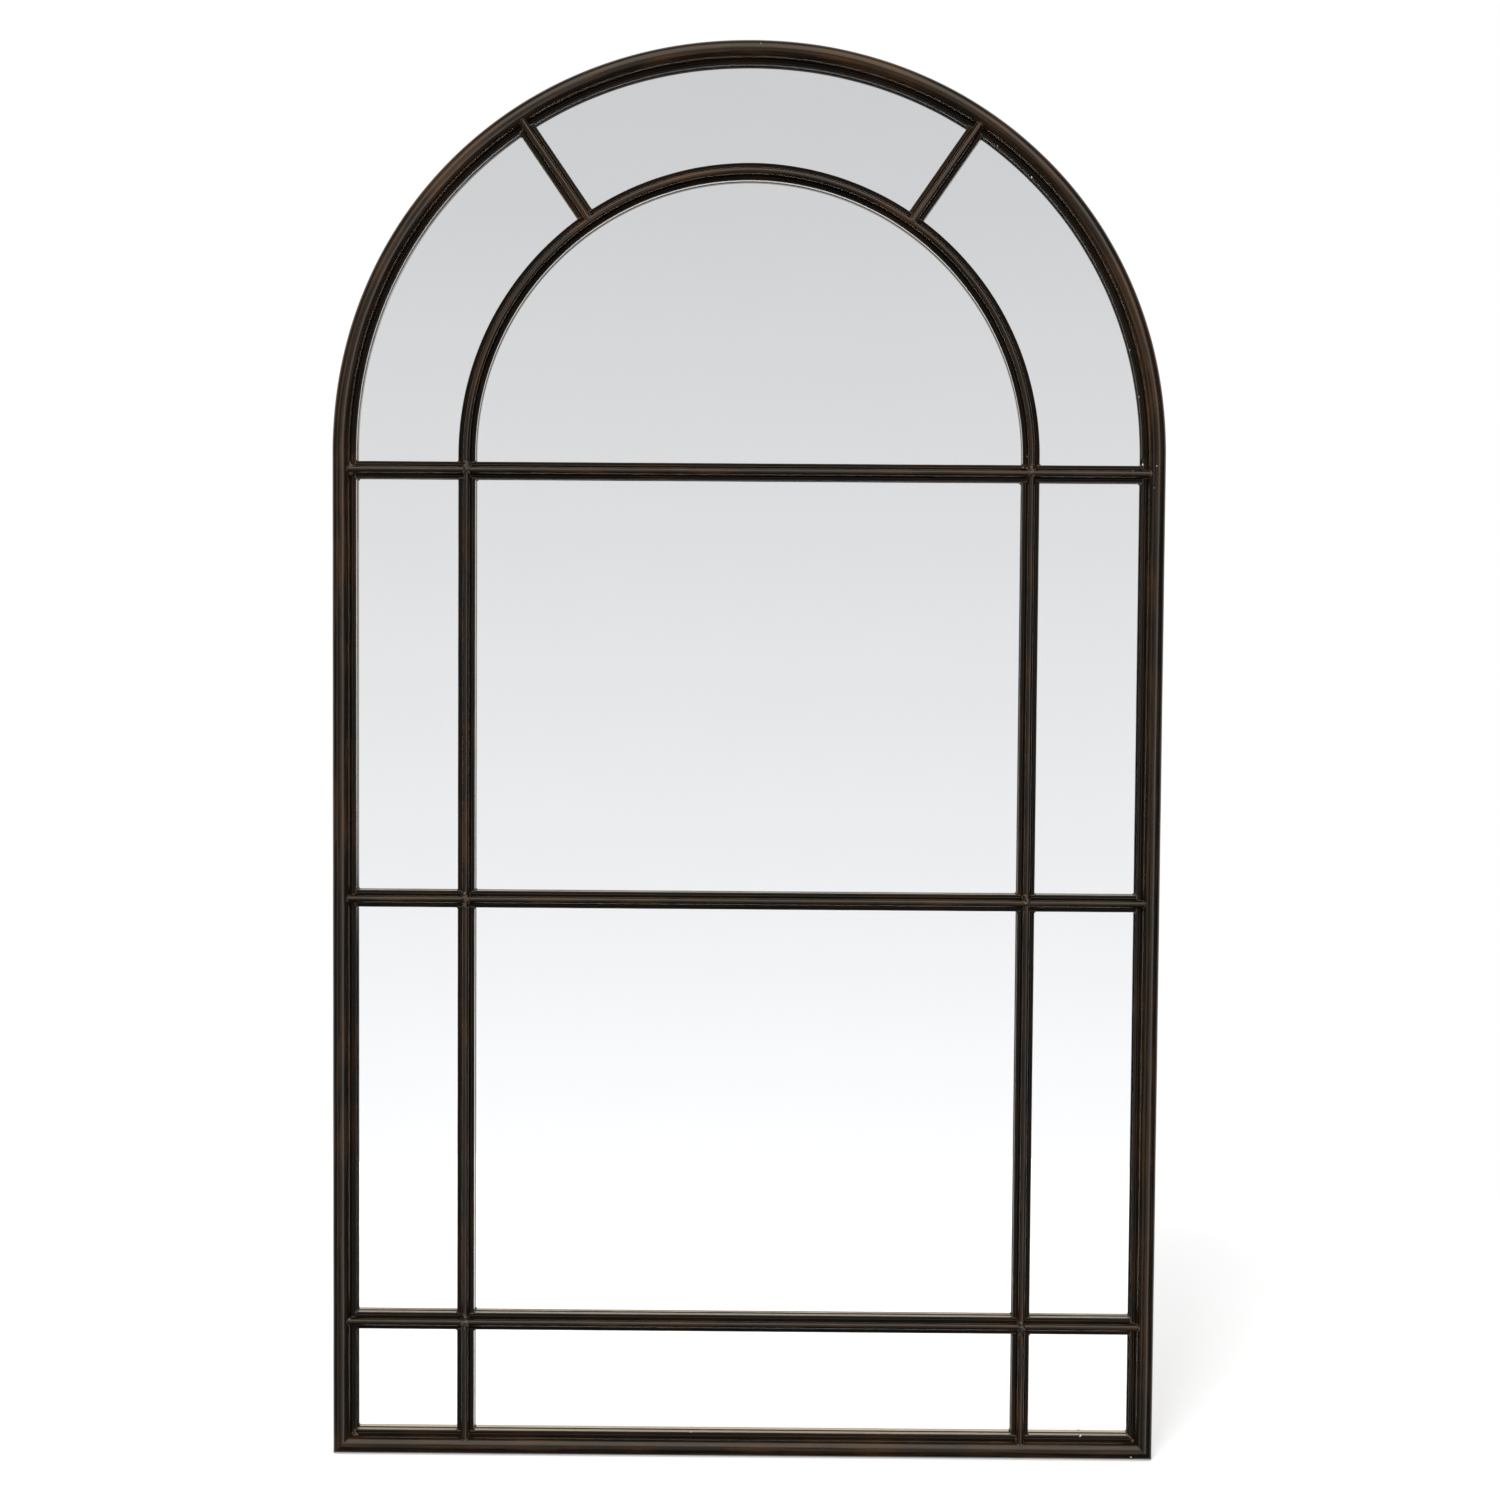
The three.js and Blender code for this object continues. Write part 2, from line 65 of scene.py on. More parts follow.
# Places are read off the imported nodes, in millimetres. X is to the viewer's right, Z is up, and the
# mirror faces -Y.
def boxOf(node):
    low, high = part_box(node)
    return np.round(np.array(low) / mm, 2), np.round(np.array(high) / mm, 2)


def middleOf(node, axis):
    low, high = boxOf(node)
    return (low[axis] + high[axis]) / 2


archLow, archHigh = boxOf("frame_arch")
half = archHigh[0]
spring = archLow[2]                      # where the outer arch and the inner arch start to bend
archRise = archHigh[2] - spring
rearY = archHigh[1]                      # the frame's flat rear face
upright = middleOf("upright_right_upper", 0)
barZ = {row: middleOf(f"{row}_bar", 2) for row in ("transom", "middle", "lower")}
squareness = 2.05                        # exponent of the outer arch's curve, where 2 is an ellipse
spokeAngle = math.radians(34.6)          # from the vertical
quarter = math.pi / 2

# Heights are counted from the frame's rear face towards the room.
section = {
    "frameCrest": 34.0,
    "barCrest": 31.0,
    "lip": 22.0,
    "glassFront": 14.0,
    "glassRear": 10.0,
    "frameBead": 22.5,      # width of the frame's round bead
    "frameFace": 29.5,
    "rebate": 23.0,
    "barBead": 9.0,
    "barFace": 21.5,
    "stem": 3.0,
    "corner": 0.8,          # roundness of the lip's edge
    "groove": 0.9,          # depth of the two rolled grooves
    "ridgeRise": 0.25,      # the fine ridge between them stands this much over the lip
}


def linear(hexColour):
    parts = [int(hexColour[i:i + 2], 16) / 255 for i in (0, 2, 4)]
    return (*[c / 12.92 if c <= 0.04045 else ((c + 0.055) / 1.055) ** 2.4 for c in parts], 1.0)


def grey(level):
    return (level, level, level, 1.0)


# Adds one node, sets its properties, then fills or links its inputs. A node given for an input stands for
# its "Fac" output or else its first. A colour mix takes its colours at inputs 6 and 7.
def addNode(tree, kind, inputs=None, **settings):
    node = tree.nodes.new("ShaderNode" + kind)
    for key, value in settings.items():
        setattr(node, key, value)
    for key, value in (inputs or {}).items():
        if isinstance(value, bpy.types.Node):
            value = value.outputs.get("Fac") or next(socket for socket in value.outputs if socket.enabled)
        if isinstance(value, bpy.types.NodeSocket):
            tree.links.new(value, node.inputs[key])
        else:
            node.inputs[key].default_value = value
    return node


# A new material, with the add-node function for its tree and its Object coordinates.
def newMaterial(name):
    material = bpy.data.materials.new(name)
    material.use_nodes = True
    material.node_tree.nodes.clear()
    add = partial(addNode, material.node_tree)
    return material, add, add("TexCoord").outputs["Object"]


def stacked(*columns):
    return np.stack(np.broadcast_arrays(*columns), axis=-1)


# Puts arrays into a new mesh: points (n, 3) in mm, quads (k, 4) and triangles (t, 3) of point numbers,
# and optionally one (u, v) for each corner of the quads. Faces are turned round if the shape's signed
# volume, the sum of a . (b x c) / 6 over its triangles, comes out negative.
def meshFromArrays(name, points, quads, triangles, cornerUv=None, marks=None, flat=False):
    a, b, c, d = (points[quads[:, k]] for k in range(4))
    e, f, g = (points[triangles[:, k]] for k in range(3))
    volume = sum(np.einsum("ij,ij->", p, np.cross(q, r)) for p, q, r in ((a, b, c), (a, c, d), (e, f, g)))
    if volume < 0:
        quads = quads[:, ::-1]
        triangles = triangles[:, ::-1]
        cornerUv = None if cornerUv is None else cornerUv[:, ::-1]
    loops = np.concatenate([quads.ravel(), triangles.ravel()]).astype(np.int32)
    sizes = np.concatenate([np.full(len(quads), 4), np.full(len(triangles), 3)]).astype(np.int32)
    starts = np.concatenate([[0], np.cumsum(sizes)[:-1]]).astype(np.int32)
    mesh = bpy.data.meshes.new(name)
    mesh.vertices.add(len(points))
    mesh.vertices.foreach_set("co", (points * mm).astype(np.float32).ravel())
    mesh.loops.add(len(loops))
    mesh.loops.foreach_set("vertex_index", loops)
    mesh.polygons.add(len(sizes))
    mesh.polygons.foreach_set("loop_start", starts)
    mesh.polygons.foreach_set("loop_total", sizes)
    if cornerUv is not None:
        values = np.zeros((len(loops), 2), np.float32)
        values[:quads.size] = cornerUv.reshape(-1, 2) * mm
        mesh.uv_layers.new(name="run").data.foreach_set("uv", values.ravel())
    for key, values in (marks or {}).items():
        mark = mesh.attributes.new(key, "FLOAT", "POINT")
        mark.data.foreach_set("value", values.astype(np.float32).ravel())
    mesh.update(calc_edges=True)
    mesh.validate()
    mesh.polygons.foreach_set("use_smooth", np.full(len(mesh.polygons), not flat))
    piece = bpy.data.objects.new(name, mesh)
    scene.collection.objects.link(piece)
    return piece


# Faces of a grid of rings: quads between neighbours, and at either end a fan to one of the two points
# that come after the grid.
def ringFaces(rows, columns):
    number = np.arange(rows * columns).reshape(rows, columns)
    right = np.roll(number, -1, axis=1)
    quads = stacked(number[:-1], number[1:], right[1:], right[:-1]).reshape(-1, 4)
    fans = [stacked(number.size, number[0], right[0]), stacked(number.size + 1, right[-1], number[-1])]
    return quads, np.concatenate(fans)


def pointsOf(mesh):
    points = np.zeros(len(mesh.vertices) * 3, np.float32)
    mesh.vertices.foreach_get("co", points)
    return points.reshape(-1, 3)


# A closed section carried along rows: points (rows, columns, 3), each row one ring.
def sweptPiece(name, points, along, across, marks):
    rows, columns = points.shape[:2]
    quads, fans = ringFaces(rows, columns)
    everything = np.concatenate([points.reshape(-1, 3), points[[0, -1]].mean(axis=1)])
    nextAlong = np.roll(along, -1, 1)
    nextAcross = np.append(across[1:], across[-1] + np.hypot(*(points[0, 0] - points[0, -1])[[0, 1]]))
    u = stacked(along[:-1], along[1:], nextAlong[1:], nextAlong[:-1])
    cornerUv = stacked(u, stacked(across, across, nextAcross, nextAcross)).reshape(-1, 4, 2)
    fullMarks = {key: np.append(np.broadcast_to(value, (rows, columns)), [0, 0]) for key, value in marks.items()}
    piece = meshFromArrays(name, everything, quads, fans, cornerUv, fullMarks)
    # The end rings stay sharp, so that a joint doesn't show in the shading, and so does every line along
    # the bar where its section turns by over 40 degrees.
    ends = np.zeros(len(piece.data.edges) * 2, np.int32)
    piece.data.edges.foreach_get("vertices", ends)
    row, column = ends.reshape(-1, 2) // columns, ends.reshape(-1, 2) % columns
    ring = points[rows // 2]
    step = np.roll(ring, -1, axis=0) - ring
    step = step / np.maximum(np.linalg.norm(step, axis=1, keepdims=True), 1e-9)
    turns = (step * np.roll(step, 1, axis=0)).sum(axis=1) < math.cos(math.radians(40))
    sharp = (row == 0).all(axis=1) | (row == rows - 1).all(axis=1)
    sharp |= (column[:, 0] == column[:, 1]) & turns[column[:, 0]] & (row < rows).all(axis=1)
    piece.data.attributes.new("sharp_edge", "BOOLEAN", "EDGE").data.foreach_set("value", sharp)
    return piece


# Slow hand-made unevenness along a bar: a sum of three sines of unequal length, from -1 to 1.
def unevenness(distance, seed):
    phase = np.random.default_rng(seed).uniform(0, 2 * np.pi, 3)
    waves = [np.sin(2 * np.pi * distance / length + p) for length, p in zip((37.0, 83.0, 190.0), phase)]
    return (0.5 * waves[0] + 0.8 * waves[1] + waves[2]) / 2.3


# Part of a circle as pairs of numbers, with angles in degrees from the first axis to the second.
def arcLine(first, second, radius, start, end, steps):
    angle = np.radians(np.linspace(start, end, steps + 1))
    return stacked(first + radius * np.cos(angle), second + radius * np.sin(angle))


def line(fromPoint, toPoint, steps):
    share = np.linspace(0, 1, steps + 1)[:, None]
    return np.array(fromPoint) * (1 - share) + np.array(toPoint) * share


lipShape = {
    "firstGroove": 0.55,    # distance from the bead's foot to the middle of the groove
    "firstWidth": 1.7,
    "ridgeStart": 1.3,
    "ridgeEnd": 3.2,
    "secondGroove": 3.75,
    "secondWidth": 1.3,
    "steps": 30,
}


# Height of the lip over its distance from the bead: flat, less two cosine valleys, plus half a sine
# wave for the ridge between them.
def lipHeight(distance):
    grooves = 0
    for name in ("first", "second"):
        away = np.abs(distance - lipShape[f"{name}Groove"]) / (lipShape[f"{name}Width"] / 2)
        grooves = grooves + 0.5 * (1 + np.cos(np.pi * np.clip(away, 0, 1)))
    ridgeWidth = lipShape["ridgeEnd"] - lipShape["ridgeStart"]
    ridge = np.sin(np.pi * np.clip((distance - lipShape["ridgeStart"]) / ridgeWidth, 0, 1))
    return section["lip"] - section["groove"] * grooves + section["ridgeRise"] * ridge, grooves, ridge


# Sections are made of stretches: points (height, across), wear, grime with painted shade, gloss, and 1 on the
# bead.
# This one runs from the bead's foot to the wall beside the glass.
def lipStretches(foot, edge):
    corner = section["corner"]
    distance = np.linspace(0, edge - corner - foot, lipShape["steps"] + 1)
    height, grooves, ridge = lipHeight(distance)
    rounded = arcLine(section["lip"] - corner, edge - corner, corner, 0, 90, 6)
    wall = line(rounded[-1], (section["glassFront"], edge), 4)
    # Over the lip the grime is half, more in the grooves, less on the rounded corner: dirt and painted shade.
    return [(stacked(height, foot + distance), 0.25 * ridge, 0.5 + 0.15 * grooves, 0, 0),
            (rounded[1:-1], 0, 0.4, 0, 0), (wall, 0, 0, 1, 0)]


def joined(stretches):
    columns = zip(*[[points, *(np.broadcast_to(v, len(points)) for v in marks)] for points, *marks in stretches])
    return dict(zip(("points", "wear", "grime_and_shade", "gloss", "bead"), map(np.concatenate, columns)))


frameSection = {"rearCorner": 1.5, "beadSteps": 36, "wallSteps": 8}


def frameLine():
    radius = section["frameBead"] / 2
    rear = frameSection["rearCorner"]
    low = section["frameCrest"] - radius
    front, face, rebate = section["glassFront"], section["frameFace"], section["rebate"]
    return joined([
        (arcLine(rear, rear, rear, -180, -90, 4), 0.8, 0, 0, 0),
        (line((rear, 0), (low, 0), frameSection["wallSteps"])[1:-1], 0.1, 0, 0, 0),
        (arcLine(low, radius, radius, -90, 90, frameSection["beadSteps"]), 0.25, 0, 0, 1),
        *lipStretches(section["frameBead"], face),
        # The faces at and behind the glass are darkened fully: painted shade.
        (line((front, face), (front, rebate), 2)[1:], 0, 1, 0, 0),
        (line((front, rebate), (0, rebate), 4)[1:], 0, 1, 0, 0),
        (line((0, rebate), (0, rear), 4)[1:-1], 0, 1, 0, 0)])


barSection = {"beadSteps": 14, "footSteps": 3}


# Right half from the crest outwards, then the same mirrored, so that the section runs left to right.
def barLine():
    radius = section["barBead"] / 2
    centre = section["barCrest"] - radius
    stem, edge, front = section["stem"] / 2, section["barFace"] / 2, section["glassFront"]
    footEnd = (lipHeight(np.zeros(1))[0][0] + 0.05, radius - 0.02)
    foot = line((centre, radius), footEnd, barSection["footSteps"])[1:]
    right = joined([
        (arcLine(centre, 0, radius, 0, 90, barSection["beadSteps"]), 0.3, 0, 0, 1),
        # Down the crease at the bead's foot, and on the faces against the glass, it grows darker: painted shade.
        (foot, 0, np.linspace(0.2, 1, len(foot)), 0, 1),
        *lipStretches(radius, edge),
        (line((front, edge), (front, stem), 2)[1:], 0, 1, 0, 0),
        (line((front, stem), (section["glassRear"], stem), 2)[1:], 0, 1, 0, 0)])
    left = {key: values[1:][::-1] for key, values in right.items()}
    left["points"] = left["points"] * (1, -1)
    left["gloss"] = left["gloss"] * 0.2      # the side that points down or left kept less of it, and is darker there with painted shade
    return {key: np.concatenate([left[key], right[key]]) for key in right}


frameProfile = frameLine()
barProfile = barLine()

cope = {"bite": 0.25, "lipBite": 0.9, "wallBite": 0.3}


# How far from its own axis or outer edge a member reaches at each height of a bar, which is where a bar
# that meets it must end. The end runs on by a little, so that the weld hides no gap.
def reachOf(crest, radius, middle, lipEdge):
    height = barProfile["points"][:, 0]
    over = np.clip(height - (crest - radius), 0, radius)
    round_ = middle + np.sqrt(np.clip(radius ** 2 - over ** 2, 0, None))
    lipEnd = lipEdge - np.where(height > section["lip"] - section["corner"], cope["lipBite"], cope["wallBite"])
    return np.where(barProfile["bead"] > 0.5, round_ - cope["bite"], lipEnd)


frameRadius = section["frameBead"] / 2
toBar = reachOf(section["barCrest"], section["barBead"] / 2, 0, section["barFace"] / 2)
toFrame = reachOf(section["frameCrest"], frameRadius, frameRadius, section["frameFace"])

finish = {
    "body": "19120a",        # brown-black wax over the steel
    "brown": "39240f",       # rust brown that shows through along the bar
    "rubbed_and_sheen": "4d463d",      # ridges rubbed back to dull metal
    "dirt_and_shade": "080706",        # dirt and painted shade in the rolled grooves, creases and hidden faces
    "dust_and_top_light": "a18c66",     # dry dust and painted top light on the walls that face up
    "streakLength": 90,      # mm along the bar
    "streakWidth": 3.0,      # mm across it
    "patch": 110,            # mm between browner and blacker places
    "grain": 0.9,            # mm, the brushed-on coat's fine lumps
    "unrubbed": 0.03,        # roughness where the coat was never rubbed, on the walls beside the glass
}

# Built-up weld was filed after the coat went on, so it is paler, with brown scale. Its grey is partly filed metal
# and partly a painted highlight.
weldFinish = {**finish, "body": "1d150e", "brown": "4a3220", "rubbed_and_sheen": "6a645d", "dirt_and_shade": "120d09", "patch": 30}


# Sprayed lacquer on rolled and hand-filed steel: a satin coat with long brown streaks where it was rubbed
# down along the bar, paler edges, and dirt with painted shade in the grooves, creases and hidden faces. Walls
# that face up get a pale tan of dust and painted top light, and on filed weld the pale grey is partly a painted
# highlight. Patterns follow the bar through its "run" UV map, or lie on Object coordinates where a piece has
# none.
def lacquer(name, finish, alongBar=True, lumpy=0.0, bare_and_sheen=0.0):
    material, add, here = newMaterial(name)
    finely = 1 / (finish["streakWidth"] * mm)
    scale = (1 / (finish["streakLength"] * mm), finely, 1) if alongBar else (finely,) * 3
    laid = add("Mapping", {"Vector": add("UVMap", uv_map="run") if alongBar else here, "Scale": scale})
    streak = add("TexNoise", {"Vector": laid, "Scale": 1.0, "Detail": 2.0, "Roughness": 0.5, "Distortion": 0.3})
    patch = add("TexNoise", {
        "Vector": here, "Scale": 1 / (finish["patch"] * mm), "Detail": 3.0, "Roughness": 0.55})
    peel = add("TexNoise", {"Vector": here, "Scale": 1 / (finish["grain"] * mm), "Detail": 2.0, "Roughness": 0.5})
    wear, grime_and_shade, dust_and_top_light, gloss = (
        add("Attribute", attribute_name=mark) for mark in ("wear", "grime_and_shade", "dust_and_top_light", "gloss"))

    blend = add("Math", {0: patch, 1: 0.9, 2: streak}, operation="MULTIPLY_ADD")
    brownness = add("MapRange", {"Value": blend, "From Min": 0.85, "From Max": 1.25},
                    interpolation_type="SMOOTHSTEP")
    base = add("Mix", {0: brownness, 6: linear(finish["body"]), 7: linear(finish["brown"])}, data_type="RGBA")
    # On filed weld the "bare" share lays pale grey all over: filed metal and a painted highlight.
    atLeast = add("Math", {0: wear, 1: bare_and_sheen}, operation="MAXIMUM")
    worn_and_sheen = add("Math", {0: atLeast, 1: streak}, operation="MULTIPLY")
    rubbed_and_sheen = add("MapRange", {"Value": worn_and_sheen, "From Min": 0.3, "From Max": 0.68, "To Max": 0.5},
                 interpolation_type="SMOOTHSTEP")
    edged = add("Mix", {0: rubbed_and_sheen, 6: base, 7: linear(finish["rubbed_and_sheen"])}, data_type="RGBA")
    # Dirt and painted shade: the grime mark takes grooves, creases, hidden faces and dull walls towards
    # near-black.
    dirtyAndShaded = add("Math", {0: grime_and_shade, 1: 0.75}, operation="MULTIPLY")
    colour = add("Mix", {0: dirtyAndShaded, 6: edged, 7: linear(finish["dirt_and_shade"])}, data_type="RGBA")
    # Pale tan on walls that face up: dust and painted top light.
    dusted_and_top_lit = add("Mix", {0: dust_and_top_light, 6: colour, 7: linear(finish["dust_and_top_light"])}, data_type="RGBA")

    sheen = add("MapRange", {"Value": streak, "From Min": 0.3, "From Max": 0.7, "To Min": 0.17, "To Max": 0.28})
    dull = add("Math", {0: grime_and_shade, 1: 0.4, 2: sheen}, operation="MULTIPLY_ADD", use_clamp=True)
    surface = add("Mix", {0: gloss, 2: dull, 3: finish["unrubbed"]}, data_type="FLOAT")
    level = add("MapRange", {"Value": grime_and_shade, "To Min": 0.5, "To Max": 0.1})
    coated = add("Math", {0: 1.0, 1: gloss}, operation="SUBTRACT")
    combed = add("Math", {0: coated, 1: 0.08}, operation="MULTIPLY")
    pitted = add("Math", {0: coated, 1: 0.06 + lumpy}, operation="MULTIPLY")
    streakBump = add("Bump", {"Height": streak, "Strength": combed, "Distance": 0.12 * mm})
    peelBump = add("Bump", {"Height": peel, "Normal": streakBump, "Strength": pitted, "Distance": 0.05 * mm})
    shader = add("BsdfPrincipled", {
        "Base Color": dusted_and_top_lit, "Roughness": surface, "IOR": 1.5, "Specular IOR Level": level, "Coat Weight": gloss,
        "Coat Roughness": finish["unrubbed"], "Coat IOR": 1.9, "Normal": peelBump})
    add("OutputMaterial", {"Surface": shader})
    return material


barLacquer = lacquer("satin_lacquer_on_steel", finish)
# The weld's pale grey is filed metal and a painted highlight.
weldLacquer = lacquer("filed_weld", weldFinish, alongBar=False, lumpy=0.4, bare_and_sheen=0.85)


def settle(piece, slotName, *nodeNames):
    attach(piece, "root")
    if nodeNames:
        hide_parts(*nodeNames)


steelBars = {
    "rowLength": 4.0,        # mm between rings of points
    "archRow": 3.0,
    "waver": 0.12,           # mm that hand finishing leaves in the faces
    "swell": 0.55,           # mm that the bead grows beside a weld that was built up and ground
    "swellReach": 8.0,       # mm
    "archGrimeAndShade": 0.85,       # least dirt and painted shade on the lips of the two arches
    "runShift": 300,         # mm between two members' places in the pattern of the lacquer
    "aroundShift": 40,
}
weldSeams = []               # visible edge of each coped end, for the weld beads


def runLength(base):
    return np.concatenate([[0], np.cumsum(np.linalg.norm(np.diff(base, axis=0), axis=1))])


# One member of the steel. A point is base + inward * across - Y * height, with the faces moved by the
# unevenness, and the bead swells at a bar's welded ends. "gloss" is one share for the whole member or one
# for each row, and the rest of a wall is darkened with dirt and painted shade. The pale mark on a wall that
# faces up is dust and painted top light.
def member(name, profile, base, inward, distance, total, seed, runsFrom, gloss, dust_and_top_light=0, dull=0):
    run = distance + runsFrom
    high = profile["points"][:, 0]
    height, across = (np.broadcast_to(profile["points"][:, k], distance.shape).copy() for k in (0, 1))
    shown = np.clip((high - section["glassFront"]) / 4, 0, 1)
    height -= steelBars["waver"] * shown * (1 + unevenness(run, seed))
    across += steelBars["waver"] * shown * (1 + unevenness(run, seed + 50)) / 2
    lumps = 0.6 + 0.4 * unevenness(distance * 6, seed + 90)
    welded = profile is barProfile
    for away in (distance, total - distance) if welded else ():
        growth = steelBars["swell"] * np.exp(-(np.clip(away, 0, None) / steelBars["swellReach"]) ** 2) * lumps
        height += 0.3 * growth * profile["bead"]
        across *= 1 + growth * profile["bead"] / section["barBead"]
    points = base + inward * across[..., None]
    points[..., 1] -= height
    left = profile["gloss"] * np.reshape(gloss, (-1, 1))
    # Grooves, creases, hidden faces, walls that lost their gloss and, on the arches, the whole lip are darkened:
    # dirt and painted shade.
    onLip = np.where(profile["grime_and_shade"] > 0.3, np.maximum(profile["grime_and_shade"], dull), profile["grime_and_shade"])
    marks = {"wear": profile["wear"], "grime_and_shade": np.where(profile["gloss"] > 0.1, 1 - left, onLip),
             "gloss": left, "dust_and_top_light": np.where(profile["gloss"] > 0.5, dust_and_top_light, 0)}
    around = runLength(profile["points"]) + seed * steelBars["aroundShift"]
    piece = sweptPiece(name, points, run + seed * steelBars["runShift"], around, marks)
    piece.data.materials.append(barLacquer)
    settle(piece, "steel", name)
    if welded:
        weldSeams.extend(ring[high > section["glassFront"] + 0.5] for ring in (points[0], points[-1]))


# A straight member. "gloss" is that of its first half and that of its last quarter.
def straightMember(name, profile, start, end, startCut, endCut, seed, runsFrom=0, gloss=(1, 1), dust_and_top_light=0):
    start, end = (np.array([x, rearY, z], float) for x, z in (start, end))
    total = np.linalg.norm(end - start)
    direction = (end - start) / total
    share = np.linspace(0, 1, int(total / steelBars["rowLength"]) + 2)[:, None]
    distance = startCut * (1 - share) + (total - endCut) * share
    base = start + direction * distance[..., None]
    fade = np.interp(share[:, 0], (0.5, 0.75), gloss)
    member(name, profile, base, np.cross(direction, (0, -1, 0)), distance, total, seed, runsFrom, fade, dust_and_top_light)


# A member bent along a line of points, each with the direction in which its section lies.
def bentMember(name, profile, base, inward, startCut, endCut, seed, runsFrom=0, gloss=1):
    distance = np.broadcast_to(runLength(base)[:, None], (len(base), len(profile["points"])))
    wide = np.broadcast_to(base[:, None, :], distance.shape + (3,)).copy()
    wide[0] += startCut[:, None] * (base[1] - base[0]) / np.linalg.norm(base[1] - base[0])
    wide[-1] -= endCut[:, None] * (base[-1] - base[-2]) / np.linalg.norm(base[-1] - base[-2])
    member(name, profile, wide, inward[:, None, :], distance, distance[-1, 0], seed, runsFrom, gloss,
           dull=steelBars["archGrimeAndShade"])


# Outer arch: x = a |sin|^(2/n), z = b cos^(2/n), and every section is set square to that curve.
def archFrame(angle):
    power, slope = 2 / squareness, squareness - 1
    sine = np.sin(angle)
    x = half * np.sign(sine) * np.abs(sine) ** power
    z = archRise * np.clip(np.cos(angle), 0, None) ** power
    nx = np.sign(x) * np.abs(x) ** slope / half ** squareness
    nz = z ** slope / archRise ** squareness
    size = np.hypot(nx, nz)
    return stacked(x, rearY, spring + z), stacked(-nx / size, 0, -nz / size)


# Stiles run from the mitred corner to the arch, the rail between the two mitres. The stiles' finish
# runs on over the arch, because the joints there were ground flush.
inset = frameProfile["points"][:, 1]
none = np.zeros(len(inset))
archRows = int(np.pi * half / steelBars["archRow"])
archBase, archInward = archFrame(np.linspace(-quarter, quarter, archRows))
archEnd = spring + runLength(archBase)[-1]
straightMember("frame_stile_left", frameProfile, (-half, 0), (-half, spring), inset, none, 1, gloss=(0, 1))
straightMember("frame_stile_right", frameProfile, (half, spring), (half, 0), none, inset, 1, archEnd, (0, 0))
# The rail's last number is pale dust and painted top light on its upward wall.
straightMember("frame_bottom_rail", frameProfile, (half, 0), (-half, 0), inset, inset, 3, 0, (0.6, 0.6), 0.85)

# The bars' walls that face up get pale dust and painted top light too.
for number, (row, z) in enumerate(barZ.items()):
    straightMember(f"{row}_bar", barProfile, (half, z), (-half, z), toFrame, toFrame, 4 + number,
                   gloss=(0.6, 0.6), dust_and_top_light=0.6)
spans = {
    "upper": (barZ["middle"], barZ["transom"], toBar),
    "middle": (barZ["lower"], barZ["middle"], toBar),
    "lower": (0, barZ["lower"], toFrame),
}
for side, sideName in ((-1, "left"), (1, "right")):
    for number, (row, (low, high, lowCut)) in enumerate(spans.items()):
        x = side * upright
        seed = 10 + number + 5 * (side > 0)
        straightMember(f"upright_{sideName}_{row}", barProfile, (x, low), (x, high), lowCut, toBar, seed)
print("straight members made")

# The outer arch's inner wall keeps its gloss on the left and loses it towards the crown, and where it loses it,
# it is darker with painted shade.
archGloss = np.clip(np.linspace(1.1, -1.9, archRows), 0.12, 1)
bentMember("frame_arch", frameProfile, archBase, archInward, none, none, 1, spring, archGloss)

# Inner arch: a leg up from the transom, half a circle, and a leg down.
leg = spring - barZ["transom"]
bend = np.pi * upright
first = max(toBar) + 1
rows = int(bend / steelBars["archRow"])
distance = np.concatenate([[-leg], np.linspace(-leg + first, bend + leg - first, rows), [bend + leg]])
angle = np.clip(distance / upright, 0, np.pi) - np.pi / 2
past = distance - np.clip(distance, 0, bend)
innerBase = stacked(upright * np.sin(angle), rearY, spring + upright * np.cos(angle) - np.abs(past))
bentMember("inner_arch_bar", barProfile, innerBase, stacked(-np.sin(angle), 0, -np.cos(angle)), toBar, toBar, 21)

# Spokes stand between the two arches. Seen from the middle of the springing line an arch is a circle
# there, so a point that lies a to the side of the spoke's axis ends at sqrt(R^2 - a^2).
depths = np.array([0.0, section["frameFace"]])
outerBase, outerInward = archFrame(np.linspace(0.3, 0.9, 400))
curve = outerBase + outerInward * depths[:, None, None]
direction = np.arctan2(curve[..., 0], curve[..., 2] - spring)
radii = np.hypot(curve[..., 0], curve[..., 2] - spring)
radiusHere = [np.interp(spokeAngle, direction[k], radii[k]) for k in range(2)]
away = barProfile["points"][:, 1]
low = np.sqrt((upright + toBar) ** 2 - away ** 2)
high = np.sqrt(np.interp(toFrame, depths, radiusHere) ** 2 - away ** 2)
for side, name in ((-1, "spoke_left"), (1, "spoke_right")):
    tip = (side * archRise * math.sin(spokeAngle), spring + archRise * math.cos(spokeAngle))
    straightMember(name, barProfile, (0, spring), tip, low, archRise - high, 22 + (side > 0))
print("arches and spokes made")

weldBead = {
    "step": 1.2,             # mm between lumps
    "radius": 1.15,          # mm
    "spread": 0.3,           # share that a lump's radius varies
    "stray": 0.25,           # mm that a lump strays from the seam
    "cornerRadius": 1.5,     # lumps that fill the corner between two lips
    "mitreRadius": 1.9,      # lumps along the frame's mitres
    "around": 12,            # points round a lump
    "down": 7,               # steps from its top to its bottom
    "voxel": 0.54,           # mm, the fineness of the fused skin
}


